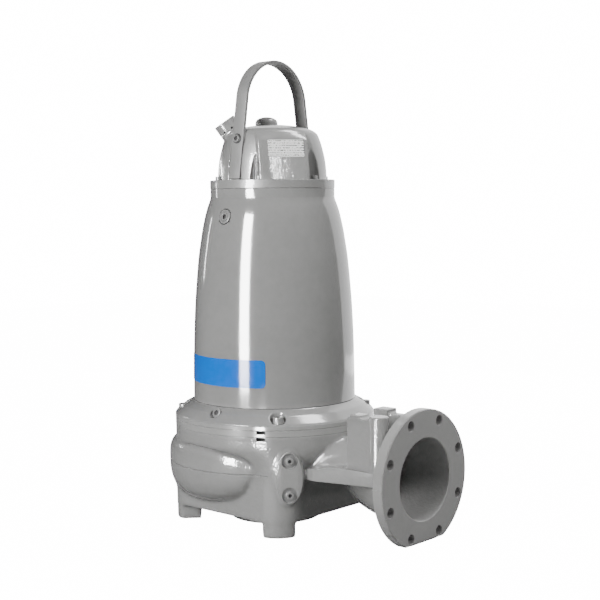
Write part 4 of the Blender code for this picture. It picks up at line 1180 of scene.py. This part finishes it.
def make_gland():
    end, direction = entry()
    low = end - direction * GLAND_LONG
    r, high = ENTRY_R + 0.0004, GLAND_LONG
    profile = [(r - 0.001, 0.0), (r, 0.001)]
    profile += rounded_edge((r, high), (r, 0), (0, high), 0.0022)
    profile += [(GLAND_MOUTH_R + 0.002, high), (GLAND_MOUTH_R, high - 0.002)]
    gland = new_object("gland_ring_cast", turned(low, direction, profile, 96))
    mouth = [(GLAND_MOUTH_R, -GLAND_MOUTH_DEEP), (GLAND_MOUTH_R, 0.01)]
    cut(gland, turned(end, direction, mouth, 48))
    front = unit(CLAMP_SCREW_FROM)
    front = (front - direction * front.dot(direction)).normalized()
    side = direction.cross(front)
    holes = []
    for turn, radius in CLAMP_SCREW_TURNS:
        way = front * math.cos(math.radians(turn)) + side * math.sin(math.radians(turn))
        start = end - direction * CLAMP_SCREW_BACK + way * (ENTRY_R - 0.005)
        cut(gland, turned(start, way, [(radius, 0), (radius, 0.0053), (radius + 0.0006, 0.0062)], 24))
        holes.append((start, way, radius))
    piece(gland, [CAST, PAINTED_SHADE], "grey_enamel", "gland_ring")
    # The clamp screw holes are painted dark inside: painted shade
    for start, way, radius in holes:
        paint_shade_inside(gland, start, way, radius + 0.0001, -0.001, 0.0050)


make_pump_housing()
make_oval_cover()
make_seal_plate()
make_oil_housing()
make_motor_housing()
make_inspection_plug()
make_label()
make_cover()
make_data_plate()
make_top_plug()
make_handle()
make_gland()
make_screws()

# Two of the frame's nodes show as they are; the suction cover's darker enamel is painted shade
for node, material in (("suction_cover", SHADED_CAST), ("impeller", IRON)):
    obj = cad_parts[node]
    obj.data.materials.clear()
    obj.data.materials.append(material)


# Camera, light and floor

CAMERA_AZ = 43.11
CAMERA_PAN = -1.214
CAMERA_PITCH = 4.538
CAMERA_ROLL = -0.495
CAMERA_DISTANCE = 3.249
CAMERA_HEIGHT = 0.8234
CAMERA_LENS = 74.805
# Name, azimuth, distance, height, width, length, radiance, height aimed at, turn, and what it lights
LIGHTS = [
    ("key_box", -87, 2.8, 1.5, 0.55, 2.0, 40, 0.5, 0, "paint"),
    ("fill_box", 5, 2.5, 2.1, 1.0, 1.0, 16, 0.5, 0, "paint"),
    ("key_strip", -88, 2.6, 1.0, 0.62, 2.0, 130, 0.5, 0, "gloss"),
    ("back_wall", 103, 2.4, 1.3, 4.0, 3.0, 1.7, 0.5, 0, "both"),
    ("floor_card", 100, 1.75, 0.08, 2.6, 1.5, 1.7, 20, 0, "gloss"),
    ("left_strip", -170, 2.6, 0.95, 0.08, 0.6, 25, 0.5, 0, "gloss"),
    ("top_box", 60, 1.1, 3.2, 0.7, 1.3, 24, 0.3, -40, "both"),
    ("front_card", -62, 1.22, 0.09, 0.17, 0.09, 170, 0.26, 0, "gloss"),
    ("cover_card", -18.1, 1.475, 1.582, 0.014, 0.18, 220, 0.86, 0, "gloss", "top_cover_cast"),
]
STUDIO_GLOW = 0.08
BACKDROP_GLOW = 16.0
FLOOR_GLOW = 15.5


def make_camera():
    az, pan, pitch, roll = [math.radians(a) for a in (CAMERA_AZ, CAMERA_PAN, CAMERA_PITCH, CAMERA_ROLL)]
    toward = Vector((math.sin(az), -math.cos(az), 0))
    level = Matrix.Rotation(pan, 3, "Z") @ (-toward)
    right = level.cross(Vector((0, 0, 1))).normalized()
    ahead = level * math.cos(pitch) - at_z(math.sin(pitch))
    up = right.cross(ahead)
    turned_right = right * math.cos(roll) + up * math.sin(roll)
    turned_up = up * math.cos(roll) - right * math.sin(roll)
    matrix = Matrix((turned_right, turned_up, -ahead)).transposed().to_4x4()
    matrix.translation = toward * CAMERA_DISTANCE + at_z(CAMERA_HEIGHT) + AXIS
    data = bpy.data.cameras.new("camera")
    data.lens = CAMERA_LENS
    data.clip_end = 100
    camera = bpy.data.objects.new("camera", data)
    camera.matrix_world = matrix
    bpy.context.scene.collection.objects.link(camera)
    bpy.context.scene.camera = camera


def area_light(name, azimuth, distance, height, wide, high, radiance, aim, spin, lights, *only):
    """A soft box round the pump that faces its axis. It can light some pieces only."""
    data = bpy.data.lights.new(name, "AREA")
    data.shape = "RECTANGLE"
    data.size = wide
    data.size_y = high
    data.energy = radiance * math.pi * wide * high
    light = bpy.data.objects.new(name, data)
    light.location = unit(azimuth) * distance + at_z(height) + AXIS
    facing = Vector((AXIS.x, AXIS.y, aim)) - light.location
    turn = facing.to_track_quat("-Z", "Y") @ Quaternion((0, 0, 1), math.radians(spin))
    light.rotation_euler = turn.to_euler()
    light.visible_camera = False
    light.visible_diffuse = lights != "gloss"
    light.visible_glossy = lights != "paint"
    if only:
        lit = bpy.data.collections.new(f"{name}_receivers")
        for piece_name in only:
            lit.objects.link(bpy.data.objects[piece_name])
        light.light_linking.receiver_collection = lit
    bpy.context.scene.collection.objects.link(light)


def make_world():
    world = bpy.data.worlds.new("studio")
    world.use_nodes = True
    tree = world.node_tree
    background = tree.nodes["Background"]
    background.inputs["Color"].default_value = (1.0, 1.0, 1.0, 1.0)
    path = tree.nodes.new("ShaderNodeLightPath")
    strength = tree.nodes.new("ShaderNodeMapRange")
    strength.inputs["To Min"].default_value = STUDIO_GLOW
    strength.inputs["To Max"].default_value = BACKDROP_GLOW
    tree.links.new(path.outputs["Is Camera Ray"], strength.inputs["Value"])
    tree.links.new(strength.outputs["Result"], background.inputs["Strength"])
    bpy.context.scene.world = world


def make_floor():
    floor = new_object("floor", prism([(-6, -6), (6, -6), (6, 6), (-6, 6)], -0.02, -0.0002))
    s = Shader("floor_paint")
    tone = s.noise(3.0)
    # The floor looks as white as the backdrop, and still takes a soft shadow
    seen = s.node("LightPath").outputs["Is Camera Ray"]
    paint = s.done(
        {
            "Base Color": s.mix(s.ramp(tone, 0.3, 0.7), (0.13, 0.13, 0.13, 1.0), (0.15, 0.15, 0.15, 1.0)),
            "Roughness": s.ramp(tone, 0.3, 0.7, 0.85, 0.95),
            "Emission Color": (1.0, 1.0, 1.0, 1.0),
            "Emission Strength": s.ramp(seen, 0.0, 1.0, 0.0, FLOOR_GLOW),
        }
    )
    floor.data.materials.append(paint)


make_camera()
make_world()
make_floor()
for light in LIGHTS:
    area_light(*light)
